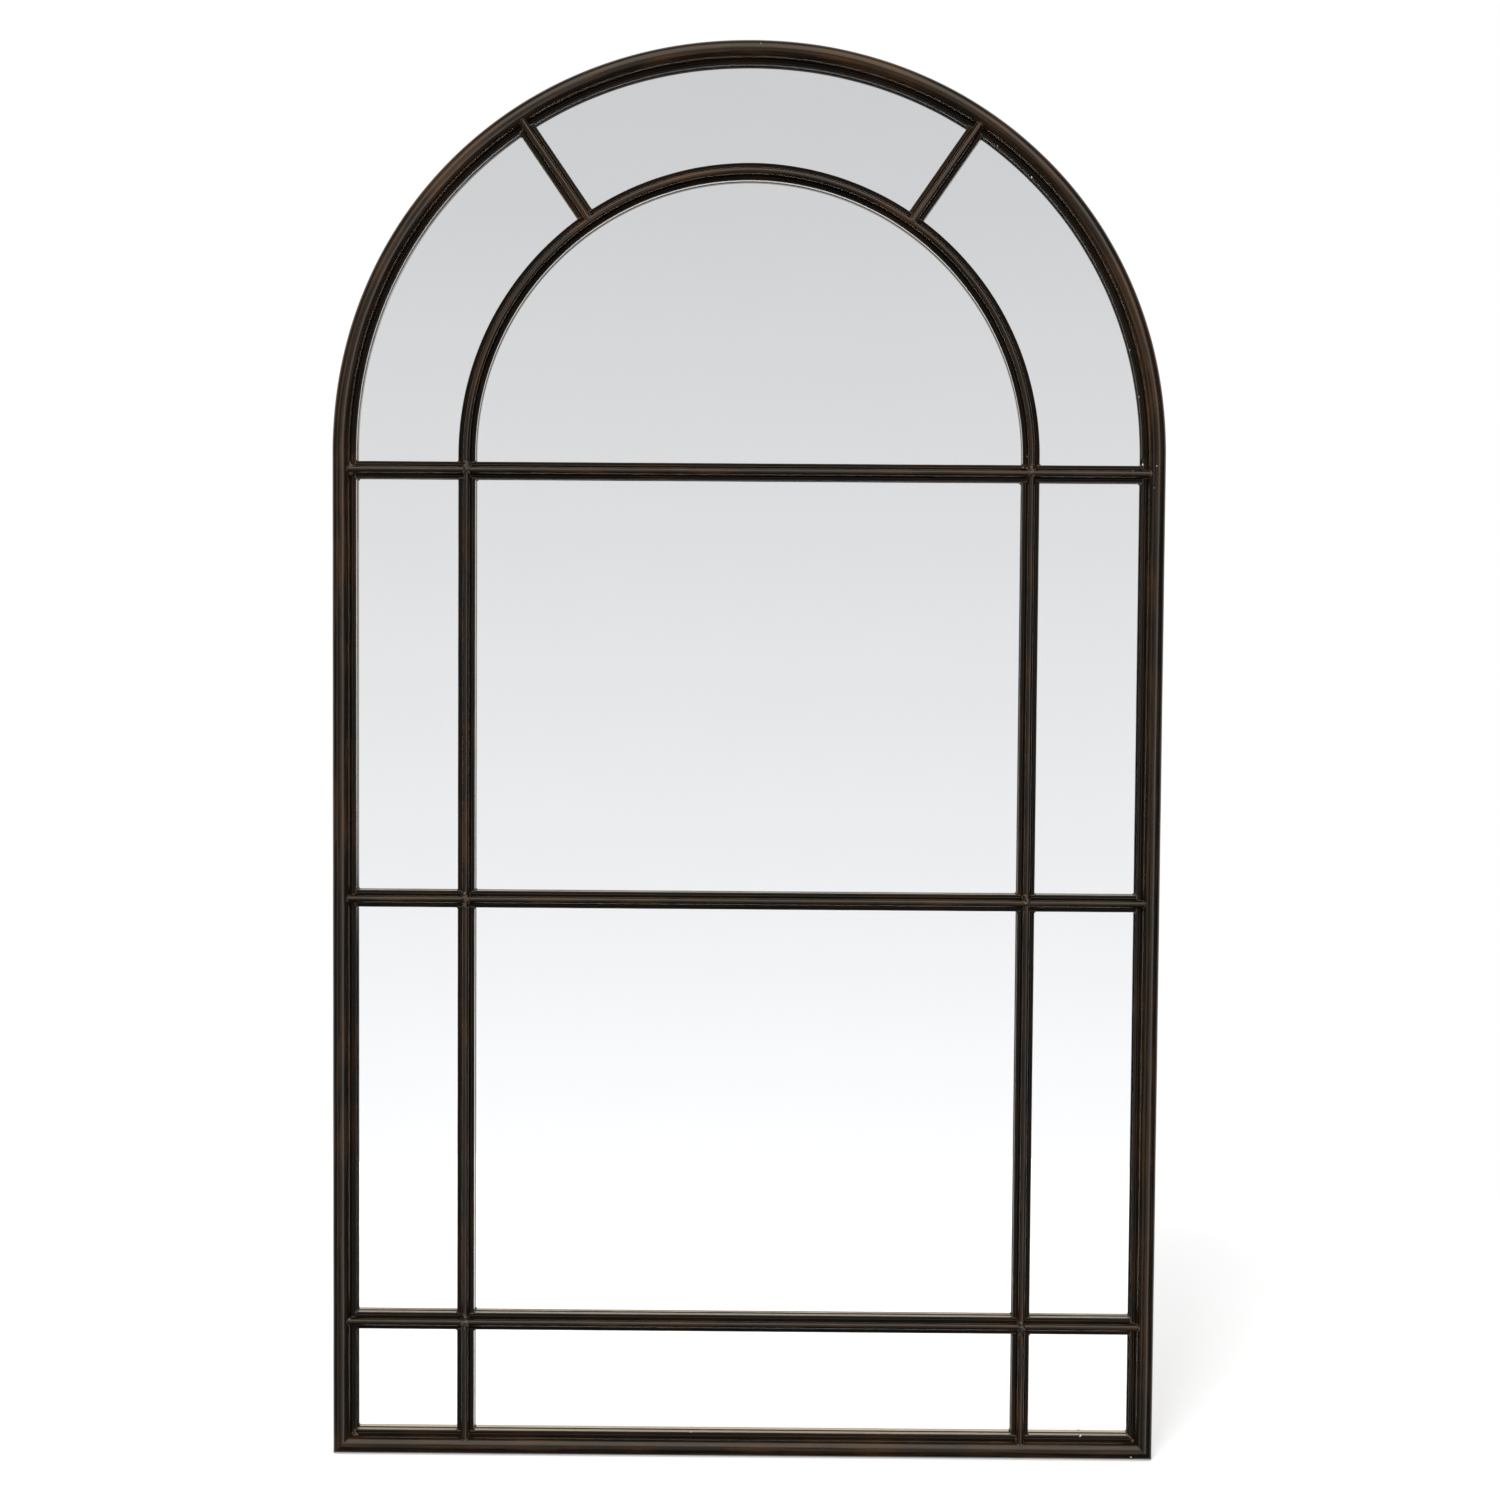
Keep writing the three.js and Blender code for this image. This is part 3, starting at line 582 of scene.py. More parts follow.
# Points at an even step along a line of points, after its corners are eased by a moving mean of five.
def evenly(points, step):
    padded = np.concatenate([points[:1], points[:1], points, points[-1:], points[-1:]])
    eased = sum(padded[k:k + len(points)] for k in range(5)) / 5
    distance = runLength(eased)
    targets = np.arange(0, distance[-1], step)
    return np.stack([np.interp(targets, distance, eased[:, k]) for k in range(3)], axis=-1)


# All the lumps at once: a ball is r (sin p cos t, sin p sin t, cos p) on a grid of t and p.
def lumpsPiece(name, centres, radii):
    t = np.linspace(0, 2 * np.pi, weldBead["around"], endpoint=False)
    p = np.linspace(0, np.pi, weldBead["down"] + 1)[1:-1, None]
    rings = stacked(np.sin(p) * np.cos(t), np.sin(p) * np.sin(t), np.cos(p)).reshape(-1, 3)
    ball = np.concatenate([rings, [[0, 0, 1], [0, 0, -1]]])
    quads, caps = ringFaces(len(p), len(t))
    points = (centres[:, None, :] + radii[:, None, None] * ball).reshape(-1, 3)
    offset = np.arange(len(centres))[:, None, None] * len(ball)
    return meshFromArrays(name, points, (quads + offset).reshape(-1, 4), (caps + offset).reshape(-1, 3))


chance = np.random.default_rng(3)
centres = [evenly(points, weldBead["step"]) for points in weldSeams]
radii = [np.full(len(c), weldBead["radius"]) for c in centres]
cornerHeights = np.arange(section["glassFront"] + 0.8, section["lip"] - 0.4, 1.0)
barHalf = section["barFace"] / 2


# A column of lumps in the corner between two lips, from the glass up.
def fillCorner(x, z):
    centres.append(stacked(x, rearY - cornerHeights, z))
    radii.append(np.full(len(cornerHeights), weldBead["cornerRadius"]))


# Built-up weld: a few balls around a place, which is given over the frame's rear face.
def buildUp(x, z, height, radius, spread, count):
    centres.append((x, rearY - height, z) + chance.uniform(-1, 1, (count, 3)) * spread)
    radii.append(np.full(count, radius))


# The edges of the lips on one side: both of the upright's and the stile's.
def lipEdges(side):
    return side * upright - barHalf, side * upright + barHalf, side * (half - section["frameFace"])


for z in barZ.values():
    for x in (*lipEdges(-1), *lipEdges(1)):
        fillCorner(x, z - barHalf)
        fillCorner(x, z + barHalf)
for side in (-1, 1):
    for x in lipEdges(side):
        fillCorner(x, section["frameFace"])
    # The frame's mitre is built up on the lip, from the foot of the bead to the corner.
    along = np.linspace(section["frameBead"] - 1.5, section["frameFace"] - 1, 8)
    centres.append(stacked(side * (half - along), rearY - section["lip"] + 0.5, along))
    radii.append(np.full(len(along), weldBead["mitreRadius"]))
for z in barZ.values():
    for side in (-1, 1):
        # A ground lump that runs up and down the upright's bead through the crossing, and one on the bar.
        for reach in np.linspace(-10, 10, 8):
            buildUp(side * upright + chance.uniform(-1.4, 1.4), z + reach, 28.8 - 0.06 * abs(reach), 3.0, 0.4, 1)
        buildUp(side * upright, z, 29.0, 2.9, (3.4, 0.4, 1.4), 4)
        # Where the bar runs into the stile's bead.
        buildUp(side * (half - 23.2), z, 26.5, 3.0, (1.0, 0.5, 2.0), 6)
# A flare of weld in the shape of a Y at the transom's left end, and blobs at the bottom corners.
for share in np.linspace(0, 1, 6):
    for fork in (-1, 1):
        buildUp(-498 - 4.4 * share, barZ["transom"] + fork * 7.5 * share, 28 - 2.6 * share, 2.1, 0.3, 1)
buildUp(-496.6, 23.4, 21.4, 2.3, (2.4, 0.5, 1.6), 7)
buildUp(501.0, 22.6, 22.6, 2.3, (2.6, 1.2, 1.6), 6)
buildUp(upright - 1, 23.6, 22.6, 2.4, (1.6, 0.8, 0.8), 4)
buildUp(-upright + 1, 23.4, 23.0, 2.2, (1.6, 0.8, 0.8), 3)
# Spoke ends: a lump against the outer arch and a small tip against the inner one.
for side in (-1, 1):
    for reach, radius, spread in ((np.interp(22.8, depths, radiusHere), 2.9, 1.0), (upright + 5.0, 2.1, 0.7)):
        x = side * reach * math.sin(spokeAngle)
        buildUp(x, spring + reach * math.cos(spokeAngle), 26.3, radius, spread, 5)

# The lumps are fused into one skin and eased.
centres = np.concatenate(centres)
radii = np.concatenate(radii) * (1 + weldBead["spread"] * chance.uniform(-1, 1, len(centres)))
centres = centres + weldBead["stray"] * chance.uniform(-1, 1, centres.shape)
welds = lumpsPiece("weld_beads", centres, radii)
fuse = welds.modifiers.new("fuse", "REMESH")
fuse.mode = "VOXEL"
fuse.voxel_size = weldBead["voxel"] * mm
fuse.use_smooth_shade = True
relax = welds.modifiers.new("relax", "SMOOTH")
relax.factor = 0.5
relax.iterations = 3
fused = bpy.data.meshes.new_from_object(welds.evaluated_get(bpy.context.evaluated_depsgraph_get()))
welds.modifiers.clear()
welds.data = fused
# No lump stands in front of the frame's own crest.
fusedPoints = pointsOf(fused)
fusedPoints[:, 1] = np.maximum(fusedPoints[:, 1], cadBox[0][1] + 0.00005)
fused.vertices.foreach_set("co", fusedPoints.ravel())
fused.materials.clear()
fused.materials.append(weldLacquer)
settle(welds, "steel")
print("weld beads made:", len(fused.polygons), "faces")

# Places where the coat has flaked off to pale primer, mostly along the edge of the rail's lip. Each is x, z,
# height over the rear face, radius, and how white it is.
chips = np.array([
    (-65.8, 29.2, 21.5, 0.9, 1.0), (6.1, 29.3, 21.4, 0.45, 0.7), (116.5, 29.3, 21.4, 0.45, 0.7),
    (160.1, 29.3, 21.4, 0.55, 0.8), (174.2, 29.2, 21.6, 0.55, 0.6), (196.0, 29.3, 21.4, 0.45, 0.8),
    (205.0, 29.3, 21.4, 0.55, 0.9), (222.3, 29.3, 21.4, 0.45, 0.6), (244.8, 29.4, 19.0, 0.55, 0.5),
    (282.0, 29.4, 19.5, 0.45, 0.7), (339.7, 29.3, 21.4, 0.55, 0.6), (417.9, 29.4, 20.0, 0.7, 0.3),
    (433.9, 29.0, 21.6, 1.4, 1.0), (497.3, 6.1, 32.7, 0.9, 1.0), (494.6, 29.2, 21.5, 0.9, 0.3),
    (308.8, 1666.0, 21.9, 0.5, 0.7), (314.0, 1662.2, 21.6, 0.65, 0.8), (352.1, 1627.5, 21.6, 0.95, 1.0),
    (362.2, 1617.7, 21.6, 0.6, 0.7), (478.0, 1413.2, 21.9, 0.6, 0.5), (490.2, 1354.6, 21.9, 0.6, 0.6),
    (496.2, 1269.5, 21.9, 1.3, 0.9), (512.0, 1267.3, 33.6, 0.7, 1.0), (482.8, 1261.3, 28.9, 0.5, 0.9),
    (509.4, 1240.5, 33.0, 0.5, 0.8), (350.6, 1264.4, 22.0, 1.2, 0.15), (345.5, 1265.4, 21.9, 0.8, 0.2),
    (499.0, 1262.0, 22.0, 0.9, 0.2), (11.7, 1788.3, 32.9, 0.6, 0.3), (350.8, 1279.3, 21.9, 0.7, 0.2),
    (353.3, 1255.3, 30.4, 0.7, 0.2), (-350.5, 1263.5, 22.0, 0.7, 0.2), (-341.0, 718.5, 22.0, 0.6, 0.4),
])


# Bare primer at a chip: chalky, from tan to nearly white, speckled with what is left of the coat.
def chippedPrimer():
    material, add, here = newMaterial("chalky_primer_at_chips")
    speckle = add("TexNoise", {"Vector": here, "Scale": 1 / (0.5 * mm), "Detail": 3.0})
    white = add("Attribute", attribute_name="white")
    primer = add("Mix", {0: white, 6: linear("a58a5c"), 7: linear("f0eee8")}, data_type="RGBA")
    left = add("MapRange", {"Value": speckle, "From Min": 0.58, "From Max": 0.7, "To Max": 0.6},
               interpolation_type="SMOOTHSTEP")
    colour = add("Mix", {0: left, 6: primer, 7: linear(finish["brown"])}, data_type="RGBA")
    bump = add("Bump", {"Height": speckle, "Strength": 0.4, "Distance": 0.05 * mm})
    shader = add("BsdfPrincipled", {"Base Color": colour, "Roughness": 0.75, "Normal": bump})
    add("OutputMaterial", {"Surface": shader})
    return material


# A flake is a ball pressed flat against the front and pulled out of round: its radius over the angle t is
# 1 + 0.3 sin(2 t + p) + 0.2 sin(3 t + q).
flakes = lumpsPiece("chipped_spots", np.zeros((len(chips), 3)), chips[:, 3])
points = pointsOf(flakes.data).reshape(len(chips), -1, 3) / mm
t = np.arctan2(points[..., 2], points[..., 0])
p, q = chance.uniform(0, 2 * np.pi, (2, len(chips), 1))
points = points * (1 + 0.3 * np.sin(2 * t + p) + 0.2 * np.sin(3 * t + q))[..., None] * (1, 0.25, 1)
points += stacked(chips[:, 0], rearY - chips[:, 2], chips[:, 1])[:, None]
flakes.data.vertices.foreach_set("co", (points * mm).astype(np.float32).ravel())
whiteness = np.repeat(chips[:, 4], points.shape[1]).astype(np.float32)
flakes.data.attributes.new("white", "FLOAT", "POINT").data.foreach_set("value", whiteness)
flakes.data.materials.append(chippedPrimer())
settle(flakes, "steel")


# Triangles that fill a closed line with holes in it, by the numbers of its points.
def fillOf(loops):
    return np.array(tessellate_polygon([[Vector((x, z, 0)) for x, z in loop] for loop in loops]), int)


# Points of a closed line moved into the material by "by", along the mean normal of the two edges that
# meet there. The outer line runs anticlockwise seen from the front and holes run clockwise.
def shrunk(loop, by):
    ahead = np.roll(loop, -1, axis=0) - loop
    ahead = ahead / np.linalg.norm(ahead, axis=1)[:, None]
    behind = np.roll(ahead, 1, axis=0)
    left = stacked(-(ahead + behind)[:, 1], (ahead + behind)[:, 0])
    left = left / np.linalg.norm(left, axis=1)[:, None]
    turn = np.sqrt(np.clip((1 + np.einsum("ij,ij->i", ahead, behind)) / 2, 0.2, 1))
    return loop + left * (by / turn)[:, None]


# A flat plate between two heights, with all its edges bevelled at 45 degrees. It lies over the frame's rear
# face unless "axes" gives another origin and three directions, for a line's two numbers and the height. The
# last material is that of the face at the low height.
def plateMesh(name, loops, low, high, bevel, materials, axes=None):
    origin, first, second, up = axes or ((0, rearY, 0), (1, 0, 0), (0, 0, 1), (0, -1, 0))
    triangles = fillOf([shrunk(loop, bevel) for loop in loops])
    points = []
    for by, height in ((bevel, high), (0, high - bevel), (0, low + bevel), (bevel, low)):
        edge = np.concatenate([shrunk(loop, by) for loop in loops])
        points.append(np.array(origin) + edge[:, :1] * first + edge[:, 1:] * second + height * np.array(up))
    count = len(points[0])
    quads = []
    start = 0
    for loop in loops:
        number = start + np.arange(len(loop))
        after = np.roll(number, -1)
        quads += [stacked(number, after, after + count, number + count) + k * count for k in range(3)]
        start += len(loop)
    caps = np.concatenate([triangles[:, ::-1], triangles + 3 * count])
    piece = meshFromArrays(name, np.concatenate(points), np.concatenate(quads), caps, flat=True)
    for material in materials:
        piece.data.materials.append(material)
    slots = np.zeros(len(piece.data.polygons), np.int32)
    slots[-len(triangles):] = len(materials) - 1
    piece.data.polygons.foreach_set("material_index", slots)
    return piece


# Clear float glass: colourless at 4 mm, its surfaces not quite flat, so long reflections waver a little.
def floatGlass():
    material, add, here = newMaterial("float_glass")
    roll = add("TexNoise", {"Vector": here, "Scale": 1 / (250 * mm), "Detail": 1.0})
    bump = add("Bump", {"Height": roll, "Strength": 0.02, "Distance": 0.3 * mm})
    shader = add("BsdfPrincipled", {"Base Color": grey(1.0), "Roughness": 0.0, "IOR": 1.52,
                                    "Transmission Weight": 1.0, "Normal": bump})
    add("OutputMaterial", {"Surface": shader})
    return material


# Silver laid on the glass: a clean cold mirror that dulls by a hair in cloudy patches.
def silverBacking():
    material, add, here = newMaterial("silvered_backing")
    cloud = add("TexNoise", {"Vector": here, "Scale": 9.0, "Detail": 4.0})       # about 110 mm
    tone = add("Mix", {0: cloud, 6: grey(0.965), 7: grey(0.95)}, data_type="RGBA")
    shader = add("BsdfPrincipled", {"Base Color": tone, "Metallic": 1.0, "Roughness": 0.0})
    add("OutputMaterial", {"Surface": shader})
    return material


glass = floatGlass()
silver = silverBacking()
paneShape = {
    "bevel": 0.4,
    "beside": section["stem"] / 2 + 1.2,         # from a bar's axis to the pane's edge
    "besideFrame": section["rebate"] + 1.2,      # from the frame's outer edge
    "curveStep": 6.0,
}


def circlePoints(radius, start, end):
    steps = max(int(abs(end - start) * radius / paneShape["curveStep"]), 2)
    angle = np.linspace(start, end, steps + 1)
    return stacked(radius * np.sin(angle), spring + radius * np.cos(angle))


def rebateLine(start, end):
    steps = int(abs(end - start) * half / paneShape["curveStep"])
    base, inward = archFrame(np.linspace(start, end, steps + 1))
    return (base + inward * paneShape["besideFrame"])[:, [0, 2]]


# The arch's own angle for a direction from the middle of the springing line:
# x / z = (a / b) tan(angle)^(2/n).
def curveAngle(direction):
    return math.atan((math.tan(direction) * archRise / half) ** (squareness / 2))


paneLines = {}
for name in (f"pane_{row}_{column}" for row in spans for column in ("left", "centre", "right")):
    (x, _, z), (farX, _, farZ) = boxOf(name)
    paneLines[name] = [(x, z), (farX, z), (farX, farZ), (x, farZ)]
paneLow, paneHigh = boxOf("pane_lunette")
above = paneLow[2]
inside = upright - paneShape["beside"]
outside = upright + paneShape["beside"]
outerShift = math.asin(paneShape["beside"] / (archRise - paneShape["besideFrame"]))
innerShift = math.asin(paneShape["beside"] / outside)
topEnd = curveAngle(spokeAngle - outerShift)
sideEnd = curveAngle(spokeAngle + outerShift)
paneLines["pane_lunette"] = [(-inside, above), (inside, above), *circlePoints(inside, quarter, -quarter)]
paneLines["pane_fan_top"] = [
    *rebateLine(topEnd, -topEnd), *circlePoints(outside, innerShift - spokeAngle, spokeAngle - innerShift)]
paneLines["pane_fan_right"] = [
    (half - paneShape["besideFrame"], above), *rebateLine(quarter, sideEnd),
    *circlePoints(outside, spokeAngle + innerShift, quarter), (outside, above)]
paneLines["pane_fan_left"] = [(-x, z) for x, z in reversed(paneLines["pane_fan_right"])]
for name, outline in paneLines.items():
    pane = plateMesh(name, [np.array(outline, float)], rearY - paneHigh[1], rearY - paneLow[1],
                     paneShape["bevel"], [glass, silver])
    settle(pane, "mirror", name)
print("panes made")


# Hardboard, smooth side out: pressed wood fibre, so short pale and dark hairs lie every way in a brown sheet,
# with a faint waxy sheen and a few darker scuffs.
def hardboard():
    material, add, here = newMaterial("bare_hardboard")
    hairSize = (1 / (6 * mm), 1 / (6 * mm), 1 / (0.5 * mm))
    hairs = []
    for angle in (0.3, 1.4, 2.4):
        laid = add("Mapping", {"Vector": here, "Rotation": (0.0, angle, 0.0), "Scale": hairSize})
        hairs.append(add("TexNoise", {"Vector": laid, "Scale": 1.0, "Detail": 2.0, "Distortion": 0.5}))
    crossed = add("Math", {0: hairs[0], 1: hairs[1]}, operation="MAXIMUM")
    felted = add("Math", {0: crossed, 1: hairs[2]}, operation="MAXIMUM")
    cloud = add("TexNoise", {"Vector": here, "Scale": 1 / (160 * mm), "Detail": 5.0})
    sheet = add("Mix", {0: cloud, 6: linear("5a3c22"), 7: linear("7a5431")}, data_type="RGBA")
    hairiness = add("MapRange", {"Value": felted, "From Min": 0.55, "From Max": 0.8, "To Max": 0.55},
                    interpolation_type="SMOOTHSTEP")
    colour = add("Mix", {0: hairiness, 6: sheet, 7: linear("94704a")}, data_type="RGBA")
    scuff = add("TexNoise", {"Vector": here, "Scale": 1 / (40 * mm), "Detail": 6.0, "Roughness": 0.7})
    dull = add("MapRange", {"Value": scuff, "From Min": 0.35, "From Max": 0.65, "To Min": 0.48, "To Max": 0.72})
    bump = add("Bump", {"Height": felted, "Strength": 0.3, "Distance": 0.1 * mm})
    shader = add("BsdfPrincipled", {"Base Color": colour, "Roughness": dull, "Normal": bump})
    add("OutputMaterial", {"Surface": shader})
    return material


# Bright zinc plating on pressed steel: a grey metal with a soft cloudy bloom, fine rolling lines and duller,
# whiter spots where it has started to oxidise.
def zincPlate():
    material, add, here = newMaterial("zinc_plated_steel")
    bloom = add("TexNoise", {"Vector": here, "Scale": 1 / (7 * mm), "Detail": 4.0})
    laid = add("Mapping", {"Vector": here, "Scale": (1 / (12 * mm), 1 / (12 * mm), 1 / (0.25 * mm))})
    rolled = add("TexNoise", {"Vector": laid, "Scale": 1.0, "Detail": 3.0})
    colour = add("Mix", {0: bloom, 6: linear("9c9c98"), 7: linear("bdbdb6")}, data_type="RGBA")
    dull = add("MapRange", {"Value": bloom, "From Min": 0.3, "From Max": 0.7, "To Min": 0.28, "To Max": 0.5})
    bump = add("Bump", {"Height": rolled, "Strength": 0.25, "Distance": 0.05 * mm})
    shader = add("BsdfPrincipled", {"Base Color": colour, "Metallic": 1.0, "Roughness": dull, "Normal": bump})
    add("OutputMaterial", {"Surface": shader})
    return material


# Moulded rubber: nearly black, matt, with a fine grain and a grey film of dust on part of it.
def mouldedRubber():
    material, add, here = newMaterial("matt_moulded_rubber")
    film = add("TexNoise", {"Vector": here, "Scale": 1 / (5 * mm), "Detail": 4.0})
    grain = add("TexNoise", {"Vector": here, "Scale": 1 / (0.4 * mm), "Detail": 1.0})
    colour = add("Mix", {0: film, 6: linear("101010"), 7: linear("262523")}, data_type="RGBA")
    dull = add("MapRange", {"Value": film, "From Min": 0.3, "From Max": 0.7, "To Min": 0.6, "To Max": 0.8})
    bump = add("Bump", {"Height": grain, "Strength": 0.2, "Distance": 0.05 * mm})
    shader = add("BsdfPrincipled", {"Base Color": colour, "Roughness": dull, "Normal": bump})
    add("OutputMaterial", {"Surface": shader})
    return material


zinc = zincPlate()
rubber = mouldedRubber()

low, high = boxOf("backing_board")
outline = np.array([(low[0], low[2]), (high[0], low[2]), *rebateLine(quarter, -quarter)], float)
board = plateMesh("backing_board", [outline], rearY - high[1], rearY - low[1], 0.5, [hardboard()])
settle(board, "board", "backing_board")

clip = {
    "width": 14.0,
    "thickness": 1.5,
    "bend": 0.7,             # inner radius of its two bends
    "edge": 0.2,
    "flange": -0.3,          # height of the flange's front face
    "foot": 4.4,             # height of the foot's front face
    "start": 7.0,            # distances in from the frame's outer edge
    "web": 23.9,
    "end": 36.4,
    "archAngle": math.radians(49),       # place of the two on the arch
}


# A clip's side view as (inset, height): flange, web and foot, with an inner and an outer arc at each bend.
def clipSide():
    thick, bend, web, flange, foot = (clip[key] for key in ("thickness", "bend", "web", "flange", "foot"))
    wide = bend + thick
    return np.concatenate([
        [(clip["start"], flange), (clip["start"], flange - thick)],
        arcLine(web - bend, flange + bend, wide, -90, 0, 6),
        arcLine(web + wide, foot - wide, bend, 180, 90, 6),
        [(clip["end"], foot - thick), (clip["end"], foot)],
        arcLine(web + wide, foot - wide, wide, 90, 180, 6),
        arcLine(web - bend, flange + bend, bend, 0, -90, 6)])


# Each clip's place on the frame's outer edge, and the direction inwards.
clipPlaces = {}
for side, sideName in ((-1, "left"), (1, "right")):
    for row in ("lower", "upper"):
        clipPlaces[f"{sideName}_{row}"] = (side * half, middleOf(f"board_clip_{sideName}_{row}", 2)), (-side, 0)
    clipPlaces[f"bottom_{sideName}"] = (middleOf(f"board_clip_bottom_{sideName}", 0), 0), (0, 1)
clipPlaces["arch_crown"] = (0, spring + archRise), (0, -1)
for side, sideName in ((-1, "left"), (1, "right")):
    base, inward = archFrame(np.array([side * clip["archAngle"]]))
    clipPlaces[f"arch_{sideName}"] = base[0, [0, 2]], inward[0, [0, 2]]
for name, ((x, z), inwards) in clipPlaces.items():
    inwards = np.array([inwards[0], 0, inwards[1]], float)
    axes = (x, rearY, z), inwards, (0, -1, 0), np.cross(inwards, (0, -1, 0))
    reach = clip["width"] / 2
    piece = plateMesh(f"board_clip_{name}", [clipSide()], -reach, reach, clip["edge"], [zinc], axes)
    settle(piece, "zinc", f"board_clip_{name}")

hanger = {
    "corner": 5.0,
    "edge": 0.25,
    "eye": (488.0, 1174.0, 5.0),         # x, z and radius
    "slotTop": 1186.0,
    "slotHalf": 2.5,
    "screwX": 513.0,
    "screwZ": (1167.0, 1193.0),
    "screwHole": 3.75,
}
eyeX, eyeZ, eyeRadius = hanger["eye"]
shoulder = math.degrees(math.acos(hanger["slotHalf"] / eyeRadius))       # where the slot leaves the eye
for side, name in ((-1, "left"), (1, "right")):
    low, high = boxOf(f"hanger_plate_{name}")
    r = hanger["corner"]
    right, left, top, bottom = high[0] - r, low[0] + r, high[2] - r, low[2] + r
    corners = ((right, bottom), (right, top), (left, top), (left, bottom))
    outline = [arcLine(*corner, r, 90 * k - 90, 90 * k, 8) for k, corner in enumerate(corners)]
    keyhole = [arcLine(side * eyeX, hanger["slotTop"], hanger["slotHalf"], 180, 0, 12),
               arcLine(side * eyeX, eyeZ, eyeRadius, shoulder, -shoulder - 180, 32)]
    holes = [arcLine(side * hanger["screwX"], z, hanger["screwHole"], 360, 0, 32)[:-1] for z in hanger["screwZ"]]
    loops = [np.concatenate(outline), np.concatenate(keyhole), *holes]
    piece = plateMesh(f"hanger_plate_{name}", loops, rearY - high[1], rearY - low[1], hanger["edge"], [zinc])
    settle(piece, "zinc", f"hanger_plate_{name}")

turning = {
    "around": 64,
    "headRings": 22,         # rings across the top of a screw's head
    "recess": 1.7,           # how far the cross recess reaches from the middle
    "recessHalf": 0.42,      # half the width of its slots
    "taper": 0.35,           # share by which they narrow outwards
    "recessWall": 0.25,      # over which its depth falls off
    "recessDepth": 1.1,
    "turns": (20, 47, 73, 110),
}
# (radius, height over the seat), from the middle of the head to the tip
panHead = [(r, 2.2 - 0.55 * (r / 3.2) ** 3) for r in np.linspace(0.12, 3.2, turning["headRings"])]
panHead += [(3.48, 1.3), (3.6, 0.8), (3.6, 0.05), (3.5, 0.0), (1.75, 0.0), (1.75, -6.3), (0.5, -7.0)]
sunkHead = [(r, 0.0) for r in np.linspace(0.12, 3.5, turning["headRings"])]
sunkHead += [(3.6, -0.12), (3.5, -0.35), (1.75, -2.0), (1.75, -6.3), (0.5, -7.0)]
# A bumper is a low dome with a rounded rim and the small dimple that its mould left.
bumperLine = [(0.15, 5.55), (0.6, 5.58), (1.0, 5.75), (1.4, 5.93), (1.8, 5.99), (2.4, 6.0), (4.0, 5.97),
              (5.0, 5.85), (5.8, 5.5), (6.4, 4.9), (6.75, 4.1), (6.9, 3.0), (7.0, 0.4), (6.85, 0.1),
              (6.5, 0.0), (0.3, 0.0)]


# A profile turned about the Y axis. Where "turned" gives an angle in degrees, a cross recess is pressed into
# the head where either of its slots covers it.
def turnedPiece(name, slotName, profile, seatY, material, turned=None):
    profile = np.array(profile)
    angle = np.linspace(0, 2 * np.pi, turning["around"], endpoint=False)
    px = profile[:, :1] * np.cos(angle)
    pz = profile[:, :1] * np.sin(angle)
    height = np.broadcast_to(profile[:, 1:], px.shape).copy()
    if turned is not None:
        tilt = math.radians(turned)
        a = np.abs(px * math.cos(tilt) + pz * math.sin(tilt))
        b = np.abs(pz * math.cos(tilt) - px * math.sin(tilt))
        near, far = np.minimum(a, b), np.maximum(a, b)
        slot = near - turning["recessHalf"] * (1 - turning["taper"] * far / turning["recess"])
        inside = np.clip(-np.maximum(slot, far - turning["recess"]) / turning["recessWall"], 0, 1)
        height[:turning["headRings"]] -= inside[:turning["headRings"]] * turning["recessDepth"]
    points = stacked(middleOf(name, 0) + px, seatY + height, middleOf(name, 2) + pz)
    everything = np.concatenate([points.reshape(-1, 3), points[[0, -1]].mean(axis=1)])
    piece = meshFromArrays(name, everything, *ringFaces(*px.shape))
    piece.data.materials.append(material)
    settle(piece, slotName, name)


screws = [(f"clip_screw_{name}", panHead) for name in clipPlaces]
screws += [(f"hanger_screw_{name}_{row}", sunkHead) for name in ("left", "right") for row in ("upper", "lower")]
for number, (name, profile) in enumerate(screws):
    seatY = boxOf(name)[1][1] - profile[0][1]
    turnedPiece(name, "zinc", profile, seatY, zinc, turning["turns"][number % 4])
for name in (f"bumper_{row}_{column}" for row in ("bottom", "top") for column in ("left", "right")):
    turnedPiece(name, "rubber", bumperLine, boxOf(name)[0][1], rubber)
print("back made")

studio = {
    "floorRadius": 1.9,
    "floor": "f2f2f2",
    "floorGlow": 0.4,        # what the floor adds for the eye, so that open floor is white
    "skyLevel": 0.4,         # uniform light on the matt surfaces
    # (elevation in degrees, level) of what the panes show
    "paneBackdrop": ((-90, 1.08), (-12.5, 1.08), (-6.1, 0.93), (-1.35, 0.857), (4.8, 0.762), (11.5, 0.69),
                     (14.4, 0.675), (40, 0.63), (90, 0.6)),
    "darkRoom": 0.03,        # what the steel shows where there is no card
    "behind": 0.75,          # what it shows behind the mirror
    # Cards that the steel shows: azimuth, its half width, elevation, its half height, colour. Degrees.
    "cards": (
        (0, 14, -8, 14, (0.50, 0.46, 0.40)),
        (0, 40, 44, 22, (2.05, 1.82, 1.52)),
        (24, 5, 2, 24, (1.90, 1.90, 1.96)),
        (-48, 5, 2, 24, (0.70, 0.67, 0.62)),
    ),
    "cardEdge": 8,           # degrees over which a card fades
}

